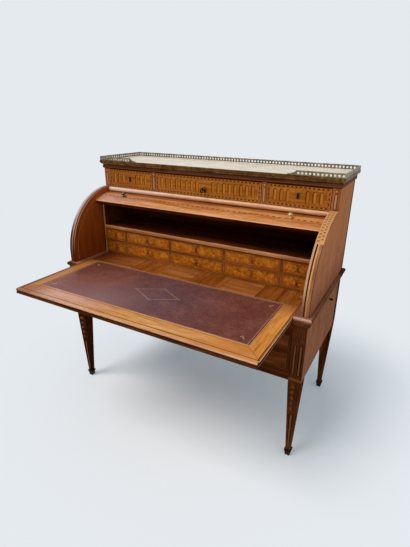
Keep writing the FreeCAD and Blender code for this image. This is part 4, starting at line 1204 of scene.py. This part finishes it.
def inlay_lower_drawer(node):
    """Framed stringing and a keyhole plate on a drawer of the lower case."""
    work, f, place = drawer_front(node)
    work.bands(f.front, place, (0, 1.4, ebony, 1), (1.4, 11.0, drawer_border, 1), (12.4, 1.2, ebony, 1),
               (13.6, 1.6, leg_line, 1), (15.2, 1.0, ebony, 1))
    u = f.middle.x
    v = f.middle.z
    work.piece(lozenge(u, v, 9 * MM, 15 * MM), plate_metal, place, 4)
    # The keyhole is not cut: dark pieces stand in for the shade inside it.
    work.piece(disc(u, v + 2.5 * MM, 2.6 * MM), ebony, place, 5)
    work.piece(rectangle(u - 1.2 * MM, u + 1.2 * MM, v - 6 * MM, v + 2 * MM), ebony, place, 6)
    work.build()


def rear_edges(work, side, out):
    """A darker strip over the outer face of the rear posts, and one up the rear edge of the upper sides."""
    upper = box("upper_side_" + side)
    lower = box("leg_back_" + side)
    shoulder = box("front_rails").z0
    top = box("frieze_top_board").z0
    waist = box("waist_moulding")
    post = lower.y1 - lower.y0
    for b, width, low, high in ((lower, post, shoulder, waist.z0), (upper, 24 * MM, waist.z1, top)):
        place = side_surface(b.x1 if out > 0 else b.x0, out)
        work.piece(rectangle(b.y1 - width, b.y1, low, high), rear_strip, place)


def line_top(work):
    """A painted highlight in the marble's colour along the top of the brass rim, and a painted highlight
    along the foot of the board under it.
    """
    rim = face("brass_edge_moulding", FRONT)
    board = face("frieze_top_board", FRONT)
    # The rim's painted highlight covers the middle of the rim.
    wear_and_highlight = 0.65 * rim.x1
    rim_painted_highlight = rectangle(-wear_and_highlight, wear_and_highlight, rim.z1 - 3.6 * MM, rim.z1 - 0.2 * MM)
    board_painted_highlight = rectangle(board.x0, board.x1, board.z0, board.z0 + 2.6 * MM)
    work.piece(rim_painted_highlight, marble_stone, front_surface(rim.y0))
    work.piece(board_painted_highlight, leg_line, front_surface(board.y0))


def make_carcass_inlay():
    work = Marquetry("case_inlay", "carcass", "case_veneer")
    line_top(work)
    inlay_frieze_stiles(work)
    for side, out in SIDES.items():
        inlay_upper_side(work, side, out)
        rear_edges(work, side, out)
    inlay_posts(work)
    inlay_legs(work)
    inlay_lower_front(work)
    work.build()


# Brass rosettes on the front corners of the top
def make_rosettes():
    """A small turned boss with eight petals on each front corner of the brass moulding."""
    rim = box("brass_edge_moulding")
    mesh = bmesh.new()
    petals = 8
    depth = 0.14
    ring = 32
    profile = [(9.0, 0.0), (9.0, 1.2), (7.8, 1.8), (7.0, 1.0), (4.4, 1.6), (3.4, 2.6), (1.4, 3.3)]
    petal_rows = (3, 4)
    from_end = 12 * MM
    sunk = 0.4 * MM
    z = rim.z1 - 9.5 * MM
    for x in (rim.x0 + from_end, rim.x1 - from_end):
        rows = []
        for index, (radius, height) in enumerate(profile):
            y = rim.y0 + sunk - height * MM
            row = []
            for i in range(ring):
                t = 2 * math.pi * i / ring
                r = radius * MM
                if index in petal_rows:
                    r *= 1 + depth * math.cos(petals * t)
                row.append(mesh.verts.new((x + r * math.cos(t), y, z + r * math.sin(t))))
            rows.append(row)
        for low, high in zip(rows, rows[1:]):
            for i in range(ring):
                j = (i + 1) % ring
                mesh.faces.new([low[i], low[j], high[j], high[i]])
        mesh.faces.new(rows[-1])
        mesh.faces.new(rows[0][::-1])
    bmesh.ops.recalc_face_normals(mesh, faces=mesh.faces)
    finish_piece(mesh, "corner_rosettes", "carcass", [brass], smooth_angle=50)


# Floor, light and camera
BACKGROUND = srgb(229, 234, 238)
FLOOR_COLOUR = srgb(243, 244, 246)
FLOOR_LIT = srgb(216, 214, 213.5)      # the floor under the lamps, away from the desk
SHADOW_STRENGTH = 1.04
SHADOW_MIDDLE = (0.10, 0.20, 0.0)
SHADOW_FULL = 0.60
SHADOW_END = 1.45
WORLD_COLOUR = (0.94, 0.97, 1.0, 1.0)
WORLD_STRENGTH = 0.24
LAMP_COLOUR = (1.0, 0.985, 0.965)


def make_floor():
    """A floor that shows the background's colour wherever the desk doesn't shade it."""
    half = 40.0
    mesh = bmesh.new()
    bmesh.ops.create_grid(mesh, x_segments=1, y_segments=1, size=half)
    data = bpy.data.meshes.new("studio_floor")
    mesh.to_mesh(data)
    mesh.free()
    floor = add("studio_floor", data)
    shader = Shader("pale_floor")
    shader.set(Base_Color=FLOOR_COLOUR, Roughness=0.9, Specular_IOR_Level=0.0)
    lit = shader.surface.outputs[0]
    nothing = shader.node("Emission", {"Strength": 0.0}).outputs[0]
    away = shader.distance(shader.coords, SHADOW_MIDDLE)
    share = shader.range(away, SHADOW_FULL, SHADOW_END, 1.0, 0.0)
    deeper = shader.math("MULTIPLY", share, SHADOW_STRENGTH - 1)
    rest = [whole - SHADOW_STRENGTH * part for whole, part in zip(BACKGROUND, FLOOR_LIT)]
    glow_colour = shader.blend(share, BACKGROUND, (*rest[:3], 1.0))
    shown = shader.node("Emission", {"Color": glow_colour, "Strength": 1.0}).outputs[0]
    for weight in (share, deeper):
        shaded = shader.node("MixShader", {0: weight, 1: nothing, 2: lit}).outputs[0]
        shown = shader.node("AddShader", {0: shaded, 1: shown}).outputs[0]
    mix = shader.node("MixShader", {0: shader.seen_ray(), 1: lit, 2: shown}).outputs[0]
    shader.feed(shader.tree.nodes["Material Output"].inputs["Surface"], mix)
    data.materials.append(shader.material)


def make_world():
    """A soft light from all round. Rays that are seen show the plain background instead."""
    world = bpy.data.worlds.new("studio")
    bpy.context.scene.world = world
    world.use_nodes = True
    nodes = Nodes(world.node_tree)
    light = nodes.tree.nodes["Background"]
    light.inputs["Color"].default_value = WORLD_COLOUR
    light.inputs["Strength"].default_value = WORLD_STRENGTH
    shown = nodes.node("Background", {"Color": BACKGROUND}).outputs[0]
    mix = nodes.node("MixShader", {0: nodes.seen_ray(), 1: light.outputs[0], 2: shown}).outputs[0]
    nodes.feed(nodes.tree.nodes["World Output"].inputs["Surface"], mix)


def make_sun(name, toward, strength, spread):
    """A soft, even light from far away. toward points from the desk to the light."""
    data = bpy.data.lights.new(name, "SUN")
    data.energy = strength
    data.angle = math.radians(spread)
    data.color = LAMP_COLOUR
    lamp = add(name, data)
    lamp.rotation_euler = Vector(toward).to_track_quat("Z", "Y").to_euler()


def make_lights():
    make_sun("key_light", toward=(-0.40, -0.50, 0.90), strength=1.65, spread=31)
    make_sun("right_light", toward=(0.85, -0.25, 0.46), strength=0.58, spread=90)
    make_sun("front_light", toward=(0.05, -0.92, 0.39), strength=0.22, spread=80)


IMAGE_WIDTH = 410
FOCAL_PIXELS = 391.03
CAMERA_PLACE = Vector((0.94927, -1.52764, 1.46968))
CAMERA_YAW = -0.5049
CAMERA_PITCH = -0.3794
CAMERA_ROLL = 0.0109


def make_camera():
    """The camera of the photo, as solved from the desk's straight edges."""
    level_share = math.cos(CAMERA_PITCH)
    forward = Vector((math.sin(CAMERA_YAW) * level_share, math.cos(CAMERA_YAW) * level_share,
                      math.sin(CAMERA_PITCH)))
    level = Vector((math.cos(CAMERA_YAW), -math.sin(CAMERA_YAW), 0))
    upright = level.cross(forward)
    right = level * math.cos(CAMERA_ROLL) + upright * math.sin(CAMERA_ROLL)
    up = upright * math.cos(CAMERA_ROLL) - level * math.sin(CAMERA_ROLL)
    data = bpy.data.cameras.new("camera")
    data.sensor_fit = "HORIZONTAL"
    data.sensor_width = 36.0
    data.lens = data.sensor_width * FOCAL_PIXELS / IMAGE_WIDTH
    camera = add("camera", data)
    turn = Matrix((right, up, -forward)).transposed().to_4x4()
    camera.matrix_world = Matrix.Translation(CAMERA_PLACE) @ turn
    bpy.context.scene.camera = camera


dress_case()
dress_moving()
make_carcass_inlay()
make_rosettes()
for side in FRIEZE_SIDES:
    inlay_frieze_drawer(side)
inlay_cover()
for node in NEST_DRAWERS:
    inlay_nest_drawer(node)
for node in PEDESTAL_DRAWERS + ["knee_drawer"]:
    inlay_lower_drawer(node)
inlay_slide()
tool_leather()
make_floor()
make_world()
make_lights()
make_camera()
bpy.context.scene.view_settings.view_transform = "Standard"
